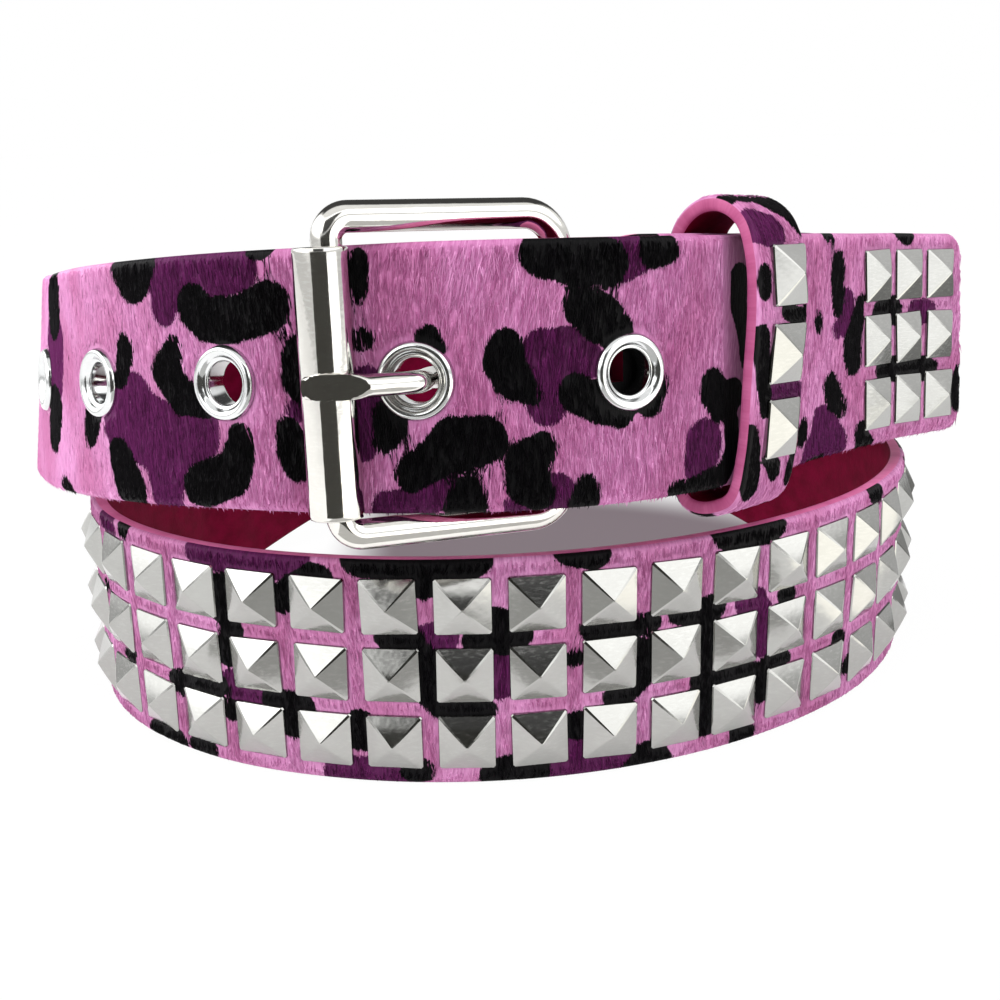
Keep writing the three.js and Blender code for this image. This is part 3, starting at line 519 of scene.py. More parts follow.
def make_piece(name, points, faces, body, finishes, replaces=(), slots=None, smooth=True, sharp=0):
    """A piece in metres, from points in millimetres and faces, riding on its body in its finishes. Where
    a sharp angle is given in degrees, steeper edges stay sharp."""
    mesh = bpy.data.meshes.new(name)
    mesh.from_pydata((np.asarray(points) * MM).tolist(), [], faces)
    mesh.polygons.foreach_set("use_smooth", np.full(len(faces), smooth))
    if slots is not None:
        mesh.polygons.foreach_set("material_index", np.array(slots))
    mesh.update()
    if sharp:
        mesh.set_sharp_from_angle(angle=math.radians(sharp))
    piece = bpy.data.objects.new(name, mesh)
    bpy.context.scene.collection.objects.link(piece)
    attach(piece, body)
    if replaces:
        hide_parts(*replaces)
    for finish in finishes:
        mesh.materials.append(finish)
    return piece


def rings(count, sides, closed=False):
    """Numbers of the points on rings carried along a path, and the quads between each ring and the next
    one, or between the last and the first too where the path is closed."""
    index = np.arange(count * sides).reshape(count, sides)
    here, ahead = (index, np.roll(index, -1, 0)) if closed else (index[:-1], index[1:])
    return index, np.stack([here, np.roll(here, -1, 1), np.roll(ahead, -1, 1), ahead], -1)


def carried(points, centre, x, y, z):
    """Points at every seat: the seat's middle plus the point's three lengths along its three axes."""
    axes = ((x, 0), (y, 1), (z, 2))
    placed = centre[:, None] + sum(axis[:, None] * points[None, :, k, None] for axis, k in axes)
    return placed.reshape(-1, 3)


def keep(piece, name, values, kind="FLOAT"):
    """Stores one value for each vertex under a name that the finishes read."""
    key = {"FLOAT": "value", "FLOAT_VECTOR": "vector"}[kind]
    piece.data.attributes.new(name, kind, "POINT").data.foreach_set(key, np.ravel(values))


def keep_print(piece, black_and_purple, nap, tone):
    """Stores what the hair's finish reads: both print distances, the nap's place, lightness and painted
    light.
    """
    keep(piece, "black_mm", black_and_purple[0])
    keep(piece, "purple_mm", black_and_purple[1])
    keep(piece, "nap_mm", nap, "FLOAT_VECTOR")
    keep(piece, "tone", tone)


def painted_light_at(along):
    """Painted light: how much paler or deeper the hair is than usual, paler at the tail's far bend as a
    painted sheen, deeper on either side of the buckle as painted shade."""
    return np.interp(along, [0, 60, 100, 150, 185, 212, 235, 260], [0, 0, -0.22, -0.22, 0.25, 0.8, 0.8, 0])


def nap_place(along, across):
    """Coordinates that stay with the hair: the first is the same all along one hair."""
    sheared = along - across * np.tan(comb_angle(along, across))
    return np.stack([sheared, across, 0 * across], -1)


tip_runs = np.array([0.0, 0.02, 0.18, 0.5, 0.95])
main_runs = np.linspace(1.9, heel_end - SLOT_REACH, int((heel_end - SLOT_REACH) / RUN_STEP))
heel_runs = np.linspace(heel_end - SLOT_REACH, heel_end, 9)[1:]
fold_runs = np.linspace(heel_end, fold_end, 15)[1:]
slot_runs = np.linspace(fold_end, fold_end + SLOT_REACH, 9)[1:]
back_runs = np.linspace(fold_end + SLOT_REACH, strap_end, 48)[1:]
runs = np.concatenate([tip_runs, main_runs, heel_runs, fold_runs, slot_runs, back_runs])
tip_height = np.array([0.45, 0.78, 1.16, 1.42, 1.5]) / HALF_THICKNESS
thick = np.concatenate([tip_height, np.ones(len(runs) - len(tip_runs))])

face_share = np.linspace(-1, 1, FACE_COLUMNS)
edge_inset, edge_height = np.array(EDGE_PROFILE).T
edge_count = len(EDGE_PROFILE)
# One section all round: fur face, upper edge, lining back down, lower edge.
half = half_width_at(runs)[:, None]
flat_half = half - edge_inset[0]
fur_across = face_share * flat_half
upper_across = half - edge_inset[1:]
lining_across = face_share[::-1] * flat_half
lower_across = -(half - edge_inset[:0:-1])
section_across = np.concatenate([fur_across, upper_across, lining_across, lower_across], 1)
section_height = np.concatenate([
    np.full(FACE_COLUMNS, edge_height[0]),
    edge_height[1:],
    np.full(FACE_COLUMNS, -HALF_THICKNESS),
    edge_height[:0:-1],
])
section_size = section_across.shape[1]
section_run = np.repeat(runs[:, None], section_size, 1)
section_out = thick[:, None] * section_height[None, :]

# Holes: quads whose middles lie in a hole go, and the corners left round it move onto its rim.
quad_run = (section_run[:-1, :-1] + section_run[1:, 1:]) / 2
quad_across = (section_across[:-1, :-1] + section_across[1:, 1:]) / 2
open_quads = np.zeros(quad_run.shape, bool)
for place in EYELET_PLACES:
    open_quads |= np.hypot(quad_run - place, quad_across) < HOLE_RADIUS
in_slot = np.abs(quad_run - (heel_end + fold_end) / 2) < (fold_end - heel_end) / 2 + SLOT_REACH
open_quads |= in_slot & (np.abs(quad_across) < SLOT_HALF)
fur_columns = np.arange(FACE_COLUMNS - 1)
lining_start = FACE_COLUMNS + edge_count - 1
faces_only = np.zeros(section_size - 1, bool)
faces_only[fur_columns] = True
faces_only[lining_start + fur_columns] = True
open_quads &= faces_only[None, :]
touched = np.zeros(section_run.shape, int)
for di in (0, 1):
    for dj in (0, 1):
        touched[di:di + open_quads.shape[0], dj:dj + open_quads.shape[1]] += open_quads
rim = (touched > 0) & (touched < 4)
for place in EYELET_PLACES:
    away = np.stack([section_run - place, section_across], -1)
    distance = np.linalg.norm(away, axis=-1)
    near = rim & (distance < HOLE_RADIUS + 2)
    section_run[near] = place + away[near][:, 0] / distance[near] * HOLE_RADIUS
    section_across[near] = away[near][:, 1] / distance[near] * HOLE_RADIUS

middle, along, out, up = rail(section_run)
strap_points = middle + up * section_across[..., None] + out * section_out[..., None]
grid, quads = rings(len(runs), section_size)
open_all = np.concatenate([open_quads, np.zeros((open_quads.shape[0], 1), bool)], 1)
quad_columns = np.repeat(np.arange(section_size)[None, :], quads.shape[0], 0)
slot_of_column = np.zeros(section_size, int)
upper_start = FACE_COLUMNS - 1
lower_start = 2 * FACE_COLUMNS + edge_count - 2
slot_of_column[upper_start + EDGE_LEATHER[0]:upper_start + EDGE_LEATHER[1]] = 1
lower_edge = lower_start + edge_count - EDGE_LEATHER[1]
slot_of_column[lower_edge:lower_edge + EDGE_LEATHER[1] - EDGE_LEATHER[0]] = 1
slot_of_column[upper_start + EDGE_LEATHER[1]:lower_edge] = 2
kept_quads = quads[~open_all]
kept_slots = slot_of_column[quad_columns[~open_all]]

# Walls of the holes: every side of an open quad that borders a kept one is bridged to the same side on
# the other face.
opposite = 2 * (FACE_COLUMNS - 1) + edge_count - np.arange(FACE_COLUMNS)
fur_open = open_quads[:, :FACE_COLUMNS - 1]
padded = np.pad(fur_open, 1)
rows, columns = np.nonzero(fur_open)
walls = []
for row_step, column_step, first, second in [
    (-1, 0, (0, 0), (0, 1)),
    (1, 0, (1, 1), (1, 0)),
    (0, -1, (1, 0), (0, 0)),
    (0, 1, (0, 1), (1, 1)),
]:
    border = ~padded[rows + 1 + row_step, columns + 1 + column_step]
    r, c = rows[border], columns[border]
    a_row, a_column = r + first[0], c + first[1]
    b_row, b_column = r + second[0], c + second[1]
    a, b = grid[a_row, a_column], grid[b_row, b_column]
    a_back, b_back = grid[a_row, opposite[a_column]], grid[b_row, opposite[b_column]]
    walls.append(np.stack([a, b, b_back, a_back], -1))
walls = np.concatenate(walls)


def end_cap(row, turned):
    """Quads between the fur columns and the lining columns at one end, with the edges' points beside."""
    front, back = grid[row, :FACE_COLUMNS], grid[row, opposite]
    cap = np.stack([front[:-1], back[:-1], back[1:], front[1:]], -1)
    edge = FACE_COLUMNS - 1 + np.arange(edge_count)
    upper = np.append(grid[row, edge], grid[row, opposite[-1]])
    lower = np.append(grid[row, np.arange(lining_start + FACE_COLUMNS - 1, section_size)], grid[row, 0])
    fan = [upper[[0, k + 1, k]] for k in range(1, edge_count)]
    fan += [lower[[0, k + 1, k]] for k in range(1, edge_count - 1)]
    if turned:
        return cap[:, ::-1], [f[::-1] for f in fan]
    return cap, fan


tip_cap, tip_fan = end_cap(0, False)
back_cap, back_fan = end_cap(-1, True)
all_faces = [*kept_quads.tolist(), *walls.tolist(), *tip_cap.tolist(), *back_cap.tolist()]
all_slots = [*kept_slots.tolist(), *[2] * len(walls), *[1] * (len(tip_cap) + len(back_cap))]
for fan in tip_fan + back_fan:
    all_faces.append(fan.tolist())
    all_slots.append(1)

used = np.unique(np.concatenate([np.ravel(kept_quads), np.ravel(walls)]))
renumber = np.full(grid.size, -1)
renumber[used] = np.arange(len(used))
all_faces = [renumber[face].tolist() for face in all_faces]
flat_run = section_run.reshape(-1)[used]
flat_across = section_across.reshape(-1)[used]



class Link:
    """A socket of a finish. Arithmetic on it adds Math nodes to the finish's tree."""

    def __init__(self, finish, socket):
        self.finish, self.socket = finish, socket

    def math(self, operation, first, second=0.0):
        return self.finish.add("ShaderNodeMath", {"operation": operation}, {0: first, 1: second})

    def __add__(self, other):
        return self.math("ADD", self, other)

    def __radd__(self, other):
        return self.math("ADD", other, self)

    def __sub__(self, other):
        return self.math("SUBTRACT", self, other)

    def __rsub__(self, other):
        return self.math("SUBTRACT", other, self)

    def __mul__(self, other):
        return self.math("MULTIPLY", self, other)

    def __rmul__(self, other):
        return self.math("MULTIPLY", other, self)

    def __abs__(self):
        return self.math("ABSOLUTE", self)


class Finish:
    """The node tree of a material with one Principled surface, or of the world, with one method that adds
    any node."""

    def __init__(self, name, owner=None):
        self.material = owner or bpy.data.materials.new(name)
        self.material.use_nodes = True
        self.tree = self.material.node_tree
        self.surface = self.tree.nodes.get("Principled BSDF")

    def add(self, kind, settings, values, output=0):
        node = self.tree.nodes.new(kind)
        for key, value in settings.items():
            if key == "stops":
                ramp = node.color_ramp.elements
                while len(ramp) < len(value):
                    ramp.new(0.5)
                for element, (position, colour) in zip(ramp, value):
                    element.position, element.color = position, colour
            else:
                setattr(node, key, value)
        for key, value in values.items():
            self.join(node.inputs[key], value)
        return Link(self, node.outputs[output])

    def join(self, socket, value):
        if isinstance(value, Link):
            self.tree.links.new(value.socket, socket)
        else:
            socket.default_value = value

    def set(self, **values):
        for key, value in values.items():
            self.join(self.surface.inputs[key.replace("_", " ").title().replace("Ior", "IOR")], value)
        return self.material

    def attribute(self, name, output="Fac"):
        return self.add("ShaderNodeAttribute", {"attribute_name": name}, {}, output)

    def blend(self, factor, first, second):
        """The first colour at 0 and the second at 1."""
        values = {0: factor, 6: first, 7: second}
        return self.add("ShaderNodeMix", {"data_type": "RGBA"}, values, 2)

    def between(self, value, low, high):
        """A smooth step from 0 at low to 1 at high."""
        values = {"Value": value, "From Min": low, "From Max": high}
        return self.add("ShaderNodeMapRange", {"interpolation_type": "SMOOTHSTEP"}, values)

    def stretched(self, vector, scale):
        """Coordinates multiplied axis by axis."""
        return self.add("ShaderNodeVectorMath", {"operation": "MULTIPLY"}, {0: vector, 1: scale})

    def noise(self, vector, scale, detail=2.0):
        return self.add("ShaderNodeTexNoise", {}, {"Vector": vector, "Scale": scale, "Detail": detail})

    def bump(self, height, depth, strength=1.0):
        values = {"Height": height, "Distance": depth * MM, "Strength": strength}
        return self.add("ShaderNodeBump", {}, values)


def paint(red, green, blue):
    """A colour from 0 to 255 as seen on a screen, made linear."""
    shares = np.array([red, green, blue]) / 255
    linear = np.where(shares <= 0.04045, shares / 12.92, ((shares + 0.055) / 1.055) ** 2.4)
    return (*linear.tolist(), 1.0)


def hair_finish(name):
    """Printed pony hair: thin streaks along the nap in pink, purple or black, each border broken up by
    the streaks it crosses."""
    hair = Finish(name)
    nap = hair.attribute("nap_mm", "Vector")
    # Each hair's random lightness, with the painted light along the strap added to it.
    tone = hair.attribute("tone")
    streak = hair.noise(hair.stretched(nap, (3.2, 0.35, 1)), 1.0, 3.0)
    fine = hair.noise(hair.stretched(nap, (7.0, 0.5, 1)), 1.0, 2.0)
    cloud = hair.noise(hair.stretched(nap, (0.09, 0.05, 1)), 1.0, 2.0)
    light = hair.between(0.42 * streak + 0.33 * fine + 0.35 * tone, 0.28, 0.82)
    pale = hair.blend(light, paint(160, 90, 137), paint(218, 158, 202))
    rosy = hair.blend(light, paint(144, 74, 118), paint(198, 128, 172))
    pink = hair.blend(hair.between(cloud, 0.35, 0.7), pale, rosy)
    purple = hair.blend(light, paint(50, 8, 42), paint(100, 32, 88))
    black = hair.blend(light, paint(0, 0, 1), paint(9, 6, 10))
    jag = 0.3 * (streak - 0.5) + 0.35 * (fine - 0.5)
    in_purple = hair.between(hair.attribute("purple_mm") + jag, 0.1, -0.1)
    in_black = hair.between(hair.attribute("black_mm") + jag, 0.1, -0.1)
    colour = hair.blend(in_black, hair.blend(in_purple, pink, purple), black)
    height = 0.6 * streak + 0.4 * fine
    return hair.set(
        base_color=colour,
        roughness=0.64 - 0.16 * light,
        normal=hair.bump(height, 0.2),
        specular_ior_level=0.12,
    )


def leather_finish(name, dark, light, roughness, coordinates, gloss=0.25):
    """Smooth dressed leather: a slow cloud of two shades, fine pores and creases as a bump."""
    leather = Finish(name)
    place = leather.attribute(coordinates, "Vector")
    cloud = leather.noise(place, 0.25, 3.0)
    grain = leather.add("ShaderNodeTexVoronoi", {"feature": "F1"}, {"Vector": place, "Scale": 1.6})
    crease = leather.noise(place, 2.6, 3.0)
    shade = leather.between(0.7 * cloud + 0.3 * crease, 0.3, 0.7)
    height = 0.5 * grain + 0.5 * crease
    return leather.set(
        base_color=leather.blend(shade, dark, light),
        roughness=roughness + 0.12 * (crease - 0.5),
        normal=leather.bump(height, 0.06),
        specular_ior_level=gloss,
    )


strap_fur = hair_finish("strap_fur")
edge_leather = leather_finish("edge_leather", paint(184, 88, 134), paint(206, 110, 156), 0.45, "hide_mm")
lining_leather = leather_finish("lining_leather", paint(84, 0, 28), paint(106, 2, 40), 0.6, "hide_mm", 0.05)
strap = make_piece(
    "strap_hide", strap_points.reshape(-1, 3)[used], all_faces, "belt",
    [strap_fur, edge_leather, lining_leather], ["strap"], all_slots, sharp=50,
)
nap = nap_place(flat_run, flat_across)
# Painted light: a painted sheen pales the hair at the tail's far bend, painted shade deepens it by the
# buckle.
keep_print(strap, print_on(flat_run, flat_across), nap, USUAL_TONE + painted_light_at(flat_run))
keep(strap, "hide_mm", np.stack([flat_run, flat_across, 0 * flat_run], -1), "FLOAT_VECTOR")

# The nap
# The hair itself: short thin spikes that lie almost flat on the hide, root up and point down, combed as
# the streaks are. Each takes the print's colour at its root, so that borders are made of whole hairs.
STUD_ROW_PITCH = 11.5
STUD_COLUMN_PITCH = 11.435
STUD_ROWS = 3
FIELD_COLUMNS = 66
FIRST_FIELD_COLUMN = 277.2
TIP_COLUMNS = 3
TIP_STUD_MARGIN = 8.8
STUD_KEEP_CLEAR = 4.75
EYELET_KEEP_CLEAR = 5.9
HAIR_WIDTH = 0.25
HAIR_DENSITY = 4.2
HAIR_TRIM = 0.62
SHORTEST_HAIR = 0.55
HIDDEN_BEHIND_TAIL = 104.0
row_heights = (np.arange(STUD_ROWS) - (STUD_ROWS - 1) / 2) * STUD_ROW_PITCH
field_places = FIRST_FIELD_COLUMN + STUD_COLUMN_PITCH * np.arange(FIELD_COLUMNS)
tip_places = TIP_STUD_MARGIN + STUD_COLUMN_PITCH * np.arange(TIP_COLUMNS)


def covered(along, across):
    """Where a stud, an eyelet, the keeper or the roller sits on the fur."""
    off_row = np.abs(across[:, None] - row_heights).min(1) < STUD_KEEP_CLEAR
    studded = np.abs(along[:, None] - np.concatenate([tip_places, field_places])).min(1) < STUD_KEEP_CLEAR
    ringed = np.hypot(along[:, None] - EYELET_PLACES, across[:, None]).min(1) < EYELET_KEEP_CLEAR
    held = np.abs(along - KEEPER_PLACE) < KEEPER_WIDTH / 2 + 0.2
    return off_row & studded | ringed | held | (np.abs(along - ROLLER_PLACE) < 1.0)


def on_fur(along, across, lift):
    """Points over the strap's fur face, which falls a little at its edges."""
    middle, _, out, up = station(along)
    height = HALF_THICKNESS - face_drop(across, half_width_at(along)) + lift
    return middle + up * across[:, None] + out * height[:, None]


def hairs(name, place, roots, tips, at_root, at_tip, nap, draw, shade=0.0):
    """One piece of closed four-sided spikes: two root corners and a raised one, all drawn to the tip. The
    print's distances run from those at the root to those at the tip."""
    count = len(roots[0])
    reach = np.hypot(tips[0] - roots[0], tips[1] - roots[1])
    side = np.stack([-(tips[1] - roots[1]), tips[0] - roots[0]]) / reach * HAIR_WIDTH / 2
    side = side * draw.uniform(0.75, 1.25, count)
    rise = draw.uniform(0.1, 0.34, count)
    corners = [
        place(roots[0] + side[0], roots[1] + side[1], np.full(count, -0.03)),
        place(roots[0] - side[0], roots[1] - side[1], np.full(count, -0.03)),
        place(roots[0] * 0.8 + tips[0] * 0.2, roots[1] * 0.8 + tips[1] * 0.2, 0.11 + 0.35 * rise),
        place(tips[0], tips[1], rise),
    ]
    points = np.stack(corners, 1).reshape(-1, 3)
    base = 4 * np.arange(count)[:, None, None]
    faces = (base + np.array([(0, 2, 1), (0, 3, 2), (1, 2, 3), (0, 1, 3)])).reshape(-1, 3).tolist()
    piece = make_piece(name, points, faces, "belt", [strap_fur], smooth=False)
    spread = [np.stack([a, a, 0.8 * a + 0.2 * b, b], 1) for a, b in zip(at_root, at_tip)]
    # shade is painted light, added to each hair's random lightness.
    keep_print(piece, spread, np.repeat(nap, 4, 0), np.repeat(draw.uniform(0, 1, count) + shade, 4))


def strap_hairs(name, start, end, seed, fringe=0.0):
    """Hairs with random roots between two places on the strap; where a tip would run into a fitting the
    hair is shortened, and past the lower edge it may stand out by the fringe's length."""
    draw = np.random.default_rng(seed)
    count = int((end - start) * STRAP_WIDTH * HAIR_DENSITY)
    along = draw.uniform(start, end, count)
    across = draw.uniform(-HALF_WIDTH, HALF_WIDTH, count)
    free = ~covered(along, across) & (np.abs(across) < half_width_at(along) - 0.15)
    along, across = along[free], across[free]
    angle = comb_angle(along, across) + draw.normal(0, 0.16, len(along))
    length = draw.uniform(1.9, 3.5, len(along))
    for _ in range(5):
        tip_along, tip_across = along - length * np.sin(angle), across - length * np.cos(angle)
        past = tip_across < -HALF_WIDTH - fringe * draw.uniform(0.1, 1, len(along))
        blocked = covered(tip_along, tip_across) | past
        length = np.where(blocked, length * HAIR_TRIM, length)
    long_enough = length > SHORTEST_HAIR
    along, across, angle, length = (v[long_enough] for v in (along, across, angle, length))
    tips = np.clip(along - length * np.sin(angle), 0.2, None), across - length * np.cos(angle)
    jag = draw.normal(0, 0.13, len(along))
    at_root, at_tip = ([mm + jag for mm in print_on(*ends)] for ends in ((along, across), tips))
    nap = nap_place(along, across)
    # Each hair's lightness is raised or lowered by the painted light along the strap.
    hairs(name, on_fur, (along, across), tips, at_root, at_tip, nap, draw, painted_light_at(along))


strap_hairs("nap_tail", 0.3, FIRST_FIELD_COLUMN - 6, 61, 0.9)
FIELD_MIDDLE = 600.0
strap_hairs("nap_first_turn", FIRST_FIELD_COLUMN - 6, FIELD_MIDDLE, 62)
strap_hairs("nap_second_turn", FIELD_MIDDLE, heel_end - HIDDEN_BEHIND_TAIL, 63)

# The main field of studs
# Square pyramids of pressed nickel, three rows in 66 columns, set on the fur by prongs bent behind it.
# height over the seat, half size and corner bevel of each ring up the stud
STUD_RINGS = np.array([
    (-0.35, 4.5, 0.3),
    (0.3, 4.6, 0.32),
    (0.56, 4.48, 0.32),
    (1.2, 3.4, 0.28),
    (1.8, 2.32, 0.24),
    (2.36, 1.24, 0.19),
    (2.86, 0.16, 0.09),
])


def stud_shape():
    """Points and faces of one stud: square rings with bevelled corners up a slightly domed pyramid,
    closed by its peak and its base."""
    z, half_size, bevel = STUD_RINGS.T
    signs = np.array([(1, -1, 0, 1), (1, 1, 0, -1), (1, 1, 1, 0), (-1, 1, -1, 0),
                      (-1, 1, 0, -1), (-1, -1, 0, 1), (-1, -1, -1, 0), (1, -1, 1, 0)])
    corner_x = half_size[:, None] * signs[:, 0] - bevel[:, None] * signs[:, 2]
    corner_y = half_size[:, None] * signs[:, 1] + bevel[:, None] * signs[:, 3]
    points = np.stack([corner_x, corner_y, np.repeat(z[:, None], 8, 1)], -1).reshape(-1, 3)
    ring, sides = rings(len(z), 8)
    return points, [*sides.reshape(-1, 4).tolist(), ring[-1].tolist(), ring[0][::-1].tolist()]


def seats_on_strap(places, heights, half_span, out_lift):
    """Middles and axes of the strap's flat facets at places from the tip, as in the solids: the chord
    between two stations gives along, and its square gives out."""
    m0, _, o0, u0 = station(places - half_span)
    m1, _, o1, u1 = station(places + half_span)
    head = m0 + o0 * HALF_THICKNESS + u0 * heights[:, None]
    foot = m1 + o1 * HALF_THICKNESS + u1 * heights[:, None]
    along = unit(head - foot)
    out = unit(np.cross(along, u0 + u1))
    return (head + foot) / 2 + out * out_lift, along, np.cross(out, along), out


def studs(name, centre, along, across, out, slot_name, replaced=()):
    """One piece of many studs: the stud's points carried to every seat, each turned and tilted a little."""
    points, faces = stud_shape()
    count = len(centre)
    draw = np.random.default_rng(len(name) + count)
    spin, tip_a, tip_b = draw.normal(0, 1, (3, count)) * np.radians([[1.0], [0.9], [0.9]])
    x = unit(along + across * spin[:, None] + out * tip_a[:, None])
    z = unit(out - along * tip_a[:, None] - across * tip_b[:, None])
    y = unit(np.cross(z, x))
    x = np.cross(y, z)
    all_sides = [[index + k * len(points) for index in face] for k in range(count) for face in faces]
    placed = carried(points, centre, x, y, z)
    make_piece(name, placed, all_sides, "belt", [stud_metal], replaced, sharp=17)


def metal_finish(name, dark, light, roughness, wear, brushed=0.012):
    """Polished nickel: a faint cloud in colour and gloss, hairline scratches and small dents."""
    metal = Finish(name)
    place = metal.add("ShaderNodeTexCoord", {}, {}, "Object")
    cloud = metal.noise(place, 260.0, 2.0)
    smear = metal.noise(metal.stretched(place, (1, 1, 3.5)), 900.0, 3.0)
    dents = metal.noise(place, 700.0, 1.0)
    rub = metal.between(smear, 0.45, 0.75)
    return metal.set(
        base_color=metal.blend(0.6 * cloud + 0.4 * rub, dark, light),
        metallic=1.0,
        roughness=roughness + wear * rub,
        normal=metal.bump(dents, brushed),
    )


stud_metal = metal_finish("stud_nickel", (0.33, 0.33, 0.315, 1), (0.41, 0.41, 0.395, 1), 0.11, 0.08)
tip_studs = [f"tip_stud_{k + 1}" for k in range(STUD_ROWS * TIP_COLUMNS)]
for name, columns, replaced in (("strap_studs", field_places, ()), ("tip_studs", tip_places, tip_studs)):
    column_grid, row_grid = [g.ravel() for g in np.meshgrid(columns, row_heights, indexing="ij")]
    seat = seats_on_strap(column_grid, row_grid, STUD_COLUMN_PITCH / 2, 0.0)
    studs(name, *seat, "stud_metal", replaced)

# Eyelets
# Six flanged eyelets of nickel, each pushed through its hole and rolled over behind.
EYELET_SEGMENTS = 48
# radius and height over the middle of the thickness, from the bore's front round the flange to the back
EYELET_PROFILE = np.array([
    (3.3, 1.3), (3.32, 1.66), (3.42, 1.86), (3.58, 1.92), (3.76, 1.94), (3.96, 2.2), (4.2, 2.48), (4.5, 2.7),
    (4.85, 2.79), (5.2, 2.69), (5.46, 2.42), (5.64, 2.02), (5.68, 1.62), (5.5, 1.5), (4.1, 1.5), (4.1, -1.55),
    (4.9, -1.6),
    (5.02, -1.8), (4.9, -2.1), (4.5, -2.25), (3.8, -2.2), (3.45, -2.0), (3.32, -1.6),
])


INSIDE_OUT = [0, 3, 2, 1]


def lathe(profile, segments):
    """Points and quads of a closed profile turned about the third axis."""
    swing = np.linspace(0, 2 * np.pi, segments, endpoint=False)
    radius, height = profile.T
    points = np.stack([
        radius[:, None] * np.cos(swing),
        radius[:, None] * np.sin(swing),
        np.repeat(height[:, None], segments, 1),
    ], -1)
    quads = rings(len(profile), segments, True)[1][..., INSIDE_OUT]
    return points.reshape(-1, 3), quads.reshape(-1, 4)


eyelet_points, eyelet_quads = lathe(EYELET_PROFILE, EYELET_SEGMENTS)
seat = seats_on_strap(EYELET_PLACES, np.zeros(EYELET_COUNT), 6.0, -HALF_THICKNESS)
eyelet_faces = np.concatenate([eyelet_quads + k * len(eyelet_points) for k in range(EYELET_COUNT)])
eyelet_metal = metal_finish("eyelet_nickel", (0.6, 0.61, 0.61, 1), (0.7, 0.71, 0.71, 1), 0.13, 0.07)
make_piece(
    "eyelets", carried(eyelet_points, *seat), eyelet_faces.tolist(), "belt", [eyelet_metal],
    [f"eyelet_{k + 1}" for k in range(EYELET_COUNT)],
)

# The buckle's frame
# A rectangle of round nickel wire with its heel bar in the fold and its front bar in the roller.
FRAME_ARM_GAP = 0.9
FRAME_LIFT = 0.7
HEEL_CORNER = 5.2
FRONT_CORNER = 3.1
ROLLER_HANG = 0.85
WIRE_SIDES = 28

heel_middle, heel_along, heel_out, heel_up = station(heel_end)
roller_middle, roller_along, roller_out, roller_up = station(ROLLER_PLACE)
front_bar = roller_centre + roller_along * ROLLER_HANG
heel_bar = heel_middle - heel_out * FOLD_RADIUS
frame_up = unit(roller_up + heel_up)
frame_across = heel_bar - front_bar
frame_across = frame_across - frame_up * dot(frame_across, frame_up)
frame_span = float(np.linalg.norm(frame_across))
frame_across = unit(frame_across)
frame_normal = np.cross(frame_up, frame_across)
frame_half = HALF_WIDTH + FRAME_ARM_GAP + WIRE_RADIUS
frame_centre = front_bar + frame_across * frame_span / 2 + frame_up * FRAME_LIFT


def tube(path, across, other, sides, closed):
    """Points and quads of a round section carried along a path, in the plane of two axes given at each
    point, which are as long as its radii."""
    swing = (np.arange(sides) / sides) * 2 * np.pi
    first = across[:, None] * np.cos(swing)[None, :, None]
    points = path[:, None] + first + other[:, None] * np.sin(swing)[None, :, None]
    return points.reshape(-1, 3), rings(len(path), sides, closed)[1].reshape(-1, 4)


wire_path, wire_away = [], []
for sign_x, sign_y, start, radius in [
    (1, -1, -90, HEEL_CORNER), (1, 1, 0, HEEL_CORNER), (-1, 1, 90, FRONT_CORNER), (-1, -1, 180, FRONT_CORNER),
]:
    turn = np.radians(start + np.linspace(0, 90, 13))[:, None]
    x = sign_x * (frame_span / 2 - radius) + radius * np.cos(turn)
    y = sign_y * (frame_half - radius) + radius * np.sin(turn)
    wire_path.append(frame_centre + frame_across * x + frame_up * y)
    wire_away.append(frame_across * np.cos(turn) + frame_up * np.sin(turn))
wire_path, wire_away = np.concatenate(wire_path), np.concatenate(wire_away)
wire_normal = np.repeat(frame_normal[None], len(wire_path), 0)
wire_points, wire_quads = tube(
    wire_path, wire_away * WIRE_RADIUS, wire_normal * WIRE_RADIUS, WIRE_SIDES, True
)
buckle_metal = metal_finish("buckle_nickel", (0.62, 0.605, 0.57, 1), (0.74, 0.73, 0.69, 1), 0.07, 0.06)
make_piece(
    "buckle_wire", wire_points, wire_quads[:, ::-1].tolist(), "belt", [buckle_metal],
    ["buckle_frame"],
)

# The roller
# A sleeve of sheet nickel, rolled to a tube with its ends turned in, loose on the frame's front bar.
ROLLER_LENGTH = 37.6
ROLLER_BORE = 3.1
ROLLER_SEGMENTS = 64
SLEEVE_RADIUS = 3.92
roller_half = ROLLER_LENGTH / 2
# radius and distance from the end, from the bore round the turned lip to the sleeve's straight side
roller_end = np.array([
    (ROLLER_BORE, 0.35), (3.35, 0.06), (3.6, 0.02), (3.8, 0.12), (3.89, 0.35), (SLEEVE_RADIUS, 0.8),
    (SLEEVE_RADIUS, 8.0),
])
roller_profile = np.concatenate([
    roller_end * (1, -1) + (0, roller_half),
    [(SLEEVE_RADIUS, 0.0)],
    roller_end[::-1] - (0, roller_half),
])
roller_points, roller_quads = lathe(roller_profile, ROLLER_SEGMENTS)
roller_seat = (axis[None] for axis in (roller_centre, roller_along, -roller_out, roller_up))
make_piece(
    "roller_sleeve", carried(roller_points, *roller_seat), roller_quads.tolist(), "roller",
    [buckle_metal], ["roller"],
)

# The prong
# Nickel rod hooked round the heel bar. It runs behind the tail, comes out through the second eyelet
# and rests on the roller with a flattened end.
PRONG_RADIUS = 1.6
PRONG_OVERHANG = 0.8
PRONG_REST = 2.6
EYELET_BORE = 3.4
EYELET_FLANGE = 5.7
PRONG_UNDER = HALF_THICKNESS + 0.45 + 3 * SEAT_GAP + PRONG_RADIUS
PRONG_OVER = ROLLER_OUT + ROLLER_RADIUS + SEAT_GAP + PRONG_RADIUS
PRONG_SLIP = EYELET_BORE - PRONG_RADIUS - 2 * SEAT_GAP


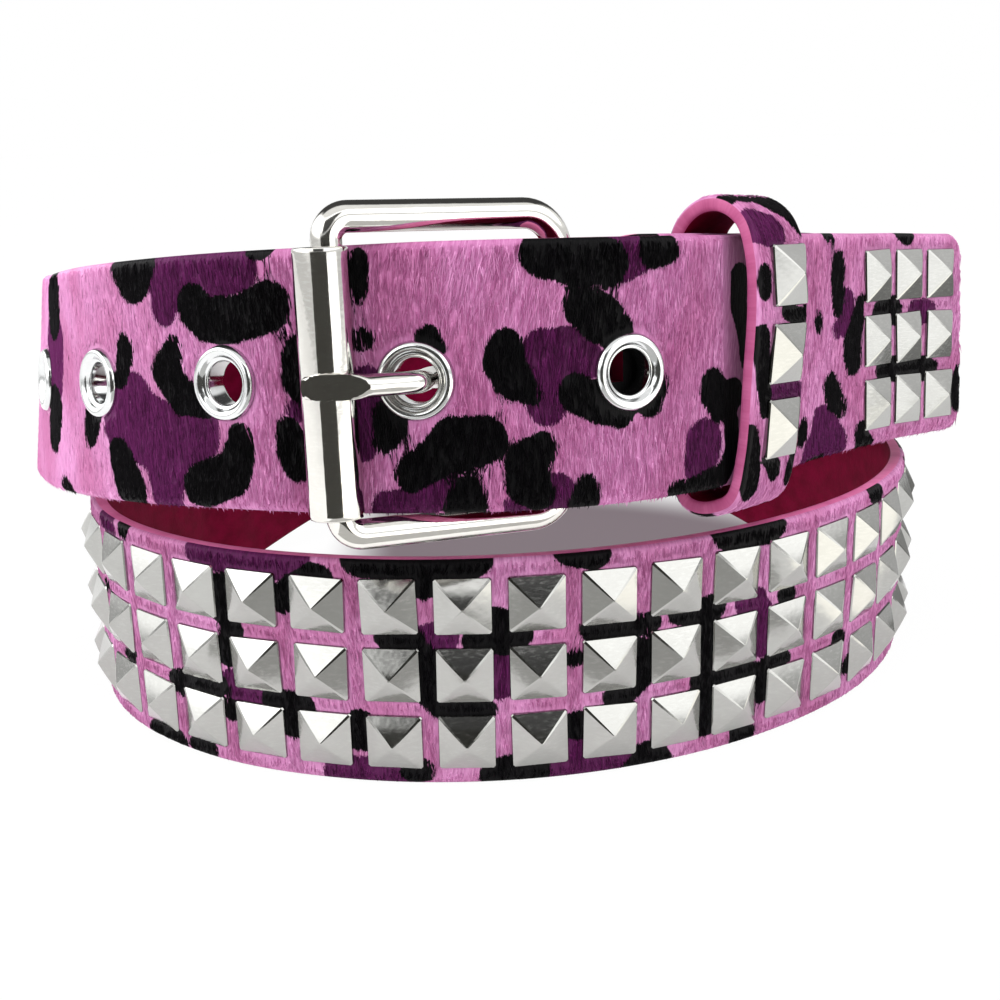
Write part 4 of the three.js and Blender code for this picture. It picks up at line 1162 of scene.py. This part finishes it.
def smooth_path(points, closed, count):
    """Even steps along a centripetal Catmull-Rom curve: each knot is the square root of the chord after
    the last, and a span blends its four nearest points by repeated linear steps."""
    if closed:
        points = np.concatenate([points[-1:], points, points[:2]])
    else:
        points = np.concatenate([[2 * points[0] - points[1]], points, [2 * points[-1] - points[-2]]])
    chords = np.linalg.norm(np.diff(points, axis=0), axis=1) ** 0.5
    knots = np.concatenate([[0.0], np.cumsum(chords)])
    spans = len(points) - 3
    fine = []
    for i in range(spans):
        p, k = points[i:i + 4], knots[i:i + 4]
        t = np.linspace(k[1], k[2], 24, endpoint=i == spans - 1)[:, None]
        for reach, starts in ((1, (0, 1, 2)), (2, (0, 1))):
            spans_of = [k[j + reach] - k[j] for j in starts]
            p = [
                (k[j + reach] - t) / spans_of[j] * p[j] + (t - k[j]) / spans_of[j] * p[j + 1]
                for j in starts
            ]
        fine.append((k[2] - t) / (k[2] - k[1]) * p[0] + (t - k[1]) / (k[2] - k[1]) * p[1])
    fine = np.concatenate(fine)
    if closed:
        fine = np.concatenate([fine, fine[:1]])
    lengths = np.concatenate([[0.0], np.cumsum(np.linalg.norm(np.diff(fine, axis=0), axis=1))])
    places = np.linspace(0, lengths[-1], count, endpoint=not closed)
    return np.stack([np.interp(places, lengths, fine[:, axis]) for axis in range(fine.shape[1])], -1)


use_middle, use_along, use_out, use_up = station(IN_USE)
swings = np.radians([-170, -130, -85, -40, 5, 50, 90])[:, None]
hook_radius = WIRE_RADIUS + SEAT_GAP + PRONG_RADIUS
hook = heel_bar + (heel_along * np.cos(swings) + heel_out * np.sin(swings)) * hook_radius
# along and out from the middle of the eyelet in use
through = np.array([
    (EYELET_FLANGE + PRONG_RADIUS, -PRONG_UNDER),
    (EYELET_BORE + SEAT_GAP, -PRONG_UNDER),
    (1.3 * PRONG_SLIP, -0.8 * PRONG_UNDER),
    (0.95 * PRONG_SLIP, -0.3 * PRONG_UNDER),
    (0.9 * PRONG_SLIP, 0.25 * PRONG_UNDER),
    (0.6 * PRONG_SLIP, 0.8 * PRONG_UNDER),
    (-0.25 * EYELET_BORE, 0.46 * PRONG_OVER),
    (-EYELET_BORE, 0.61 * PRONG_OVER),
    (-0.68 * ROLLER_FROM_EYELET, 0.87 * PRONG_OVER),
])
passing = use_middle + use_along * through[:, :1] + use_out * through[:, 1:]
resting = [
    roller_middle + roller_out * PRONG_OVER + roller_along * PRONG_REST,
    roller_middle + roller_out * (PRONG_OVER - 0.4 * PRONG_RADIUS) - roller_along * PRONG_OVERHANG,
]
route = np.concatenate([hook, passing, resting])
route = route - frame_up * dot(route - use_middle, frame_up)
PRONG_STEPS = 110
PRONG_SIDES = 24
prong_path = smooth_path(route, False, PRONG_STEPS)
prong_tangent = unit(np.gradient(prong_path, axis=0))
prong_side = unit(np.cross(frame_up, prong_tangent))
prong_run = np.concatenate([[0.0], np.cumsum(np.linalg.norm(np.diff(prong_path, axis=0), axis=1))])
from_point = prong_run[-1] - prong_run
wide = 1 + 0.1 * smoothstep(from_point, 9, 7) - 0.1 * smoothstep(from_point, 1.2, 0)
prong_up = np.repeat(frame_up[None], PRONG_STEPS, 0)
prong_points, prong_quads = tube(
    prong_path, prong_side * PRONG_RADIUS, prong_up * PRONG_RADIUS * wide[:, None], PRONG_SIDES, False
)
# The hammered flat: no point lies beyond a plane that slopes down from over the roller to the eyelet.
flat_point = roller_middle + roller_out * (PRONG_OVER + 0.12 * PRONG_RADIUS)
flat_out = unit(roller_out + 0.25 * roller_along)
above = dot(prong_points - flat_point, flat_out)
prong_points = prong_points - flat_out * np.clip(above, 0, None)
# Both ends are closed by a raised centre point with a fan of triangles to it.
END_SWELL = 0.35
prong_rings = np.arange(PRONG_STEPS * PRONG_SIDES).reshape(-1, PRONG_SIDES)
prong_faces = prong_quads.tolist()
for k, (end, inner, turned) in enumerate(((0, 1, -1), (-1, -2, 1))):
    middle = prong_points[prong_rings[end]].mean(0)
    swell = unit(middle - prong_points[prong_rings[inner]].mean(0)) * END_SWELL
    prong_points = np.concatenate([prong_points, [middle + swell]])
    pairs = np.stack([prong_rings[end], np.roll(prong_rings[end], -1)], -1)[:, ::turned]
    prong_faces += [[*pair, len(prong_points) - 1] for pair in pairs.tolist()]
make_piece(
    "prong_rod", prong_points, prong_faces, "belt", [buckle_metal], ["prong"], sharp=40,
)

# The keeper
# A loose loop of the same hide behind the buckle, fur outwards, with three studs on its front. Its edges
# are painted pink and its inside is crimson lining.
KEEPER_PROUD = 3.9
KEEPER_LOOP = np.array([
    (0, 0), (0, -0.45), (0, -0.78), (0.015, -0.93), (0.09, -1.05), (0.27, -1.1), (0.5, -1.08), (0.71, -1),
    (0.85, -0.68), (0.94, -0.1), (1, 0.4), (0.98, 0.76), (0.86, 1.01), (0.61, 1.13), (0.34, 1.125),
    (0.13, 1.03), (0.03, 0.92), (0, 0.78), (0, 0.45),
])
keeper_back = -(HALF_THICKNESS + LAYER_STEP + KEEPER_GAP + KEEPER_THICKNESS / 2)
keeper_crown = HALF_THICKNESS + KEEPER_PROUD + KEEPER_THICKNESS / 2
keeper_reach = HALF_WIDTH + KEEPER_GAP + KEEPER_THICKNESS / 2
KEEPER_STEPS = 150
loop_points = np.stack([
    keeper_back + (keeper_crown - keeper_back) * KEEPER_LOOP[:, 0],
    KEEPER_LOOP[:, 1] * keeper_reach,
], -1)
loop = smooth_path(loop_points, True, KEEPER_STEPS)
loop_tangent = unit(np.roll(loop, -1, 0) - np.roll(loop, 1, 0))
loop_away = np.stack([loop_tangent[:, 1], -loop_tangent[:, 0]], -1)
keeper_half = KEEPER_WIDTH / 2
face_line = np.linspace(-1, 1, 15)
# across the keeper's width and height over the middle of its thickness, round one section
keeper_section = np.array(
    [(x * (keeper_half - 0.7), 1.15) for x in face_line]
    + [(keeper_half - 0.3, 1.08), (keeper_half - 0.05, 0.75), (keeper_half, 0.2), (keeper_half, -0.4)]
    + [(keeper_half - 0.1, -0.85), (keeper_half - 0.4, -1.12)]
    + [(-x * (keeper_half - 0.9), -1.15) for x in face_line[::2]]
    + [(0.4 - keeper_half, -1.12), (0.1 - keeper_half, -0.85)]
    + [(-keeper_half, -0.4), (-keeper_half, 0.2), (0.05 - keeper_half, 0.75), (0.3 - keeper_half, 1.08)]
)
section_count = len(keeper_section)


def on_keeper(loop_place, across, lift):
    """Points on the keeper: a place on its loop, a distance along the strap and a height over the loop's
    middle, carried by the strap's own stations."""
    wrapped = np.asarray(loop_place) % KEEPER_STEPS
    low = np.floor(wrapped).astype(int) % KEEPER_STEPS
    high = (low + 1) % KEEPER_STEPS
    t = (wrapped - np.floor(wrapped))[..., None]
    spot = loop[low] * (1 - t) + loop[high] * t
    away = unit(loop_away[low] * (1 - t) + loop_away[high] * t)
    spot = spot + away * np.asarray(lift)[..., None]
    middle, _, out, up = station(KEEPER_PLACE + across)
    return middle + out * spot[..., :1] + up * spot[..., 1:]


loop_grid, section_grid = np.meshgrid(np.arange(KEEPER_STEPS), np.arange(section_count), indexing="ij")
keeper_across = keeper_section[section_grid, 0]
keeper_lift = keeper_section[section_grid, 1]
keeper_points = on_keeper(loop_grid, keeper_across, keeper_lift)
keeper_quads = rings(KEEPER_STEPS, section_count, True)[1][..., INSIDE_OUT].reshape(-1, 4)
# Finishes round the section: fur, painted edge, lining and the other painted edge.
keeper_slots = np.zeros(section_count, int)
keeper_slots[16:20] = 1
keeper_slots[20:31] = 2
keeper_slots[31:34] = 1

# The keeper's spots: 100 mm past its middle along the strap, height and radius
KEEPER_BLACK = [
    [(93, 20, 1.8), (96, 23, 2.2), (102, 24.5, 1.6), (109, 24, 1.2)],
    [(105.5, 13, 1.2), (105.5, 10.5, 1.2)],
    [(99.5, 7.5, 1.1), (94.5, 6, 1.3)],
    [(105.8, 4, 1.5), (104.8, -2, 1.6), (103.8, -7, 1.3)],
    [(93.4, 14, 1), (93.2, 9, 1.1)],
    [(107, -11, 1.6), (106, -15, 2), (105, -18.5, 1.8)],
    [(101.5, -14.5, 1.3), (99, -17, 1.4)],
    [(93.5, -14, 1.2), (94, -18, 1.6)],
]
KEEPER_PURPLE = [
    [(106, 19.5, 2), (101, 18.5, 2.2)],
    [(103, -4.3, 1.2), (93.5, -5.6, 1.4)],
    [(97, -11, 1.4), (94.5, -11.5, 1.4)],
]
KEEPER_SPREAD = 0.35
loop_outs, loop_heights = loop.T


def keeper_print(loop_place, across):
    """Black and purple distances on the keeper; its back repeats the front's spots upside down."""
    place, steps = loop_place % KEEPER_STEPS, np.arange(KEEPER_STEPS)
    outs, height = (np.interp(place, steps, side) for side in (loop_outs, loop_heights))
    height = np.where(outs > 0, height, -height)
    wear = 0.3 * ripple(across, height, 41, 4.0) - KEEPER_SPREAD
    return [spot_distance(chains, across + 100, height) + wear for chains in (KEEPER_BLACK, KEEPER_PURPLE)]


flat_loop, flat_across = loop_grid.ravel().astype(float), keeper_across.ravel()
loop_step = float(np.linalg.norm(np.diff(loop, axis=0), axis=1).mean())
keeper_place = np.stack([flat_across, flat_loop * loop_step, 0 * flat_loop], -1)
nap_shift = np.array([300.0, 0, 0])
# The keeper's edges take a darker copy of the strap's painted edge leather: painted shade.
shaded_keeper_edge = leather_finish("shaded_keeper_edge", paint(156, 70, 112), paint(178, 92, 134), 0.5, "hide_mm", 0.15)
keeper = make_piece(
    "keeper_loop", keeper_points.reshape(-1, 3), keeper_quads.tolist(), "belt",
    [strap_fur, shaded_keeper_edge, lining_leather], ["keeper"], np.tile(keeper_slots, KEEPER_STEPS),
)
tones = np.full(len(flat_loop), USUAL_TONE)
keep_print(keeper, keeper_print(flat_loop, flat_across), keeper_place + nap_shift, tones)
keep(keeper, "hide_mm", keeper_place, "FLOAT_VECTOR")

# Its studs, where the front of the loop passes their heights.
KEEPER_STUD_SHIFT = 1.0
KEEPER_STUD_RISE = 1.0
front = loop_outs > HALF_THICKNESS
off_rows = np.abs(loop_heights - row_heights[:, None] - KEEPER_STUD_RISE)
nearest = np.argmin(np.where(front, off_rows, 99), 1)
stud_middle, stud_along, stud_out, stud_up = station(np.full(STUD_ROWS, KEEPER_PLACE - KEEPER_STUD_SHIFT))
spot, away = loop[nearest], loop_away[nearest]
seat_out = unit(stud_out * away[:, :1] + stud_up * away[:, 1:])
lifted = spot + away * (KEEPER_THICKNESS / 2 + 0.1)
seat_centre = stud_middle + stud_out * lifted[:, :1] + stud_up * lifted[:, 1:]
studs(
    "keeper_studs", seat_centre, stud_along, np.cross(seat_out, stud_along), seat_out, "stud_metal",
    [f"keeper_stud_{k + 1}" for k in range(STUD_ROWS)],
)

# Its nap, down the front and on round the loop, clear of the studs.
KEEPER_STUD_CLEAR = 4.75
draw = np.random.default_rng(64)
loop_length = loop_step * KEEPER_STEPS
stud_runs = nearest * loop_step


def keeper_fur(across, run, lift):
    """Points over the keeper's fur face, from a distance along the strap and one round the loop."""
    return on_keeper(run / loop_step, across, KEEPER_THICKNESS / 2 + lift)


def under_keeper_stud(across, run):
    """Where a stud sits on the keeper."""
    beside = np.abs(across + KEEPER_STUD_SHIFT) < KEEPER_STUD_CLEAR
    return beside & (np.abs(run[:, None] - stud_runs).min(1) < KEEPER_STUD_CLEAR)


count = int(loop_length * KEEPER_WIDTH * HAIR_DENSITY)
ROOT_MARGIN = 0.9
tip_limit = keeper_half - 0.4
across = draw.uniform(ROOT_MARGIN - keeper_half, keeper_half - ROOT_MARGIN, count)
run = draw.uniform(0, loop_length, count)
free = ~under_keeper_stud(across, run)
across, run = across[free], run[free]
lean = draw.normal(0, 0.18, len(run))
reach = draw.uniform(1.3, 2.4, len(run))
for _ in range(5):
    tips = np.clip(across - reach * np.sin(lean), -tip_limit, tip_limit), run - reach * np.cos(lean)
    reach = np.where(under_keeper_stud(*tips), reach * HAIR_TRIM, reach)
at_root, at_tip = keeper_print(run / loop_step, across), keeper_print(tips[1] / loop_step, tips[0])
nap = np.stack([across, run, 0 * run], -1) + nap_shift
hairs("nap_keeper", keeper_fur, (across, run), tips, at_root, at_tip, nap, draw)

# Floor, background and light
# A plain white floor and surround, one broad soft light above and two at the sides. The dark side of
# the room behind the camera is what the studs' upper faces and the roller mirror.
FLOOR_HALF = 15000.0


def stage_sheet(name, corners):
    """A flat sheet of the studio, from four corners in millimetres."""
    mesh = bpy.data.meshes.new(name)
    mesh.from_pydata((np.array(corners) * MM).tolist(), [], [(0, 1, 2, 3)])
    sheet = bpy.data.objects.new(name, mesh)
    bpy.context.scene.collection.objects.link(sheet)
    return sheet


def lying(left, right, near, far, height=1):
    """Corners of a sheet that lies on the floor."""
    return [(left, near, height), (right, near, height), (right, far, height), (left, far, height)]


floor = stage_sheet("floor", lying(-FLOOR_HALF, FLOOR_HALF, -FLOOR_HALF, FLOOR_HALF, 0))
floor_finish = Finish("floor_paper")
place = floor_finish.add("ShaderNodeTexCoord", {}, {}, "Object")
speckle = floor_finish.noise(place, 40.0, 2.0)
floor.data.materials.append(floor_finish.set(
    base_color=floor_finish.blend(speckle, (0.9, 0.9, 0.9, 1), (0.94, 0.94, 0.94, 1)),
    roughness=0.9,
))
# The photograph's white ground shows almost no shadow: most of what the camera sees of it is plain white.
seen = floor_finish.add("ShaderNodeLightPath", {}, {}, "Is Camera Ray")
glow = floor_finish.add("ShaderNodeEmission", {}, {"Color": (1, 1, 1, 1), "Strength": 1.0})
paper = Link(floor_finish, floor_finish.surface.outputs["BSDF"])
# Only the ground under the raised turn, right of the buckle, gets a soft grey painted shadow.
floor_x = floor_finish.add("ShaderNodeSeparateXYZ", {}, {0: place}, "X")
floor_y = Link(floor_finish, floor_x.socket.node.outputs["Y"])
from_middle = floor_finish.add("ShaderNodeVectorMath", {"operation": "LENGTH"}, {0: place}, "Value")
inside = floor_finish.between(floor_x, -0.045, -0.025) * floor_finish.between(floor_x, 0.095, 0.07)
inside = inside * floor_finish.between(floor_y, 0.01, 0.03) * floor_finish.between(from_middle, 0.118, 0.086)
# The painted shadow: a grey glow that camera rays see there instead of the white.
painted_shadow = floor_finish.add("ShaderNodeEmission", {}, {"Color": (0.21, 0.17, 0.19, 1), "Strength": 1.0})
glow = floor_finish.add("ShaderNodeMixShader", {}, {0: inside, 1: glow, 2: painted_shadow})
mixed = floor_finish.add("ShaderNodeMixShader", {}, {0: 0.97 * seen, 1: paper, 2: glow})
floor_finish.join(floor_finish.tree.nodes["Material Output"].inputs["Surface"], mixed)

world = bpy.data.worlds.new("studio")
bpy.context.scene.world = world
room = Finish("studio", world)
direction = room.add("ShaderNodeTexCoord", {}, {}, "Generated")
toward_x = room.add("ShaderNodeSeparateXYZ", {}, {0: direction}, 0)
toward_y, toward_z = (Link(room, toward_x.socket.node.outputs[k]) for k in (1, 2))
beside = abs(toward_x)
camera_side = room.between(beside, 0.42, 0.3) * room.between(toward_y, -0.2, -0.4)
camera_side = camera_side * room.between(toward_z, 0.22, 0.32) * room.between(toward_z, 0.74, 0.66)
far_side = room.between(toward_y, -0.04, 0.12) * room.between(toward_z, 0.16, 0.34)
far_side = far_side * room.between(beside, 0.75, 0.55)
panels = room.between(toward_z, 0.28, 0.4) * room.between(toward_z, 0.82, 0.7)
panels = panels * room.between(toward_y, 0.3, 0.0)
window = room.between(toward_x, -0.5, -0.72) * room.between(toward_z, 0.1, 0.24)
window = window * room.between(toward_z, 0.82, 0.66)
low_right = room.between(toward_x, 0.4, 0.55) * room.between(toward_y, -0.2, -0.35)
window = window + low_right * room.between(toward_z, 0.2, 0.12)
sky = room.between(toward_z, 0.05, 0.5) * 0.35 + 0.8 + 1.5 * panels + 1.6 * window
sky = sky * (1 - 0.96 * camera_side) * (1 - 0.94 * far_side)
seen = room.add("ShaderNodeLightPath", {}, {}, "Is Camera Ray")
backdrop = room.tree.nodes["Background"].inputs
room.join(backdrop["Strength"], sky * (1 - seen) + seen)
room.join(backdrop["Color"], (1, 1, 1, 1))


def soft_light(name, place, target, size, power):
    """A square area light in metres that faces a target."""
    data = bpy.data.lights.new(name, "AREA")
    data.size, data.energy = size, power
    lamp = bpy.data.objects.new(name, data)
    bpy.context.scene.collection.objects.link(lamp)
    back = unit(np.array(place, float) - np.array(target, float))
    side = unit(np.cross([0.0, 1.0, 0.2], back))
    matrix = np.eye(4)
    matrix[:3, 0], matrix[:3, 1], matrix[:3, 2], matrix[:3, 3] = side, np.cross(back, side), back, place
    lamp.matrix_world = matrix.T.tolist()
    return lamp


def reflected_card(name, corners, dark, light, glow=0.0):
    """A cloth card in millimetres that only polished metal mirrors, with a glow of its own or none."""
    card = stage_sheet(name, corners)
    card.visible_camera = False
    card.visible_diffuse = False
    card.visible_shadow = False
    cloth = Finish(name)
    weave = cloth.noise(cloth.add("ShaderNodeTexCoord", {}, {}, "Object"), 300.0, 2.0)
    shade = cloth.blend(weave, dark, light)
    card.data.materials.append(cloth.set(base_color=shade, roughness=0.9, emission_color=shade))
    cloth.surface.inputs["Emission Strength"].default_value = glow


# One stands behind the camera and makes the roller's dark stripe. On the floor, one in front and one
# behind on the right shade the right-hand sides of the studs, and one at the right lights the left ones.
standing = [(-150, -275, 0), (95, -275, 0), (95, -275, 136), (-150, -275, 136)]
reflected_card("dark_card", standing, (0.035, 0.035, 0.03, 1), (0.07, 0.068, 0.06, 1))
reflected_card("grey_card", lying(-66, 74, -270, -104), (0.36, 0.36, 0.35, 1), (0.44, 0.44, 0.43, 1))
reflected_card("back_card", lying(102, 1600, 20, 1600), (0.16, 0.16, 0.16, 1), (0.23, 0.23, 0.22, 1))
reflected_card("bright_card", lying(92, 1600, -1600, -60), (0.9, 0.88, 0.82, 1), (0.98, 0.96, 0.9, 1), 1.2)
soft_light("overhead", (0.0, -0.25, 1.0), (0, 0, 0.05), 0.9, 7.0).visible_glossy = False

scene = bpy.context.scene
scene.view_settings.view_transform = "Standard"
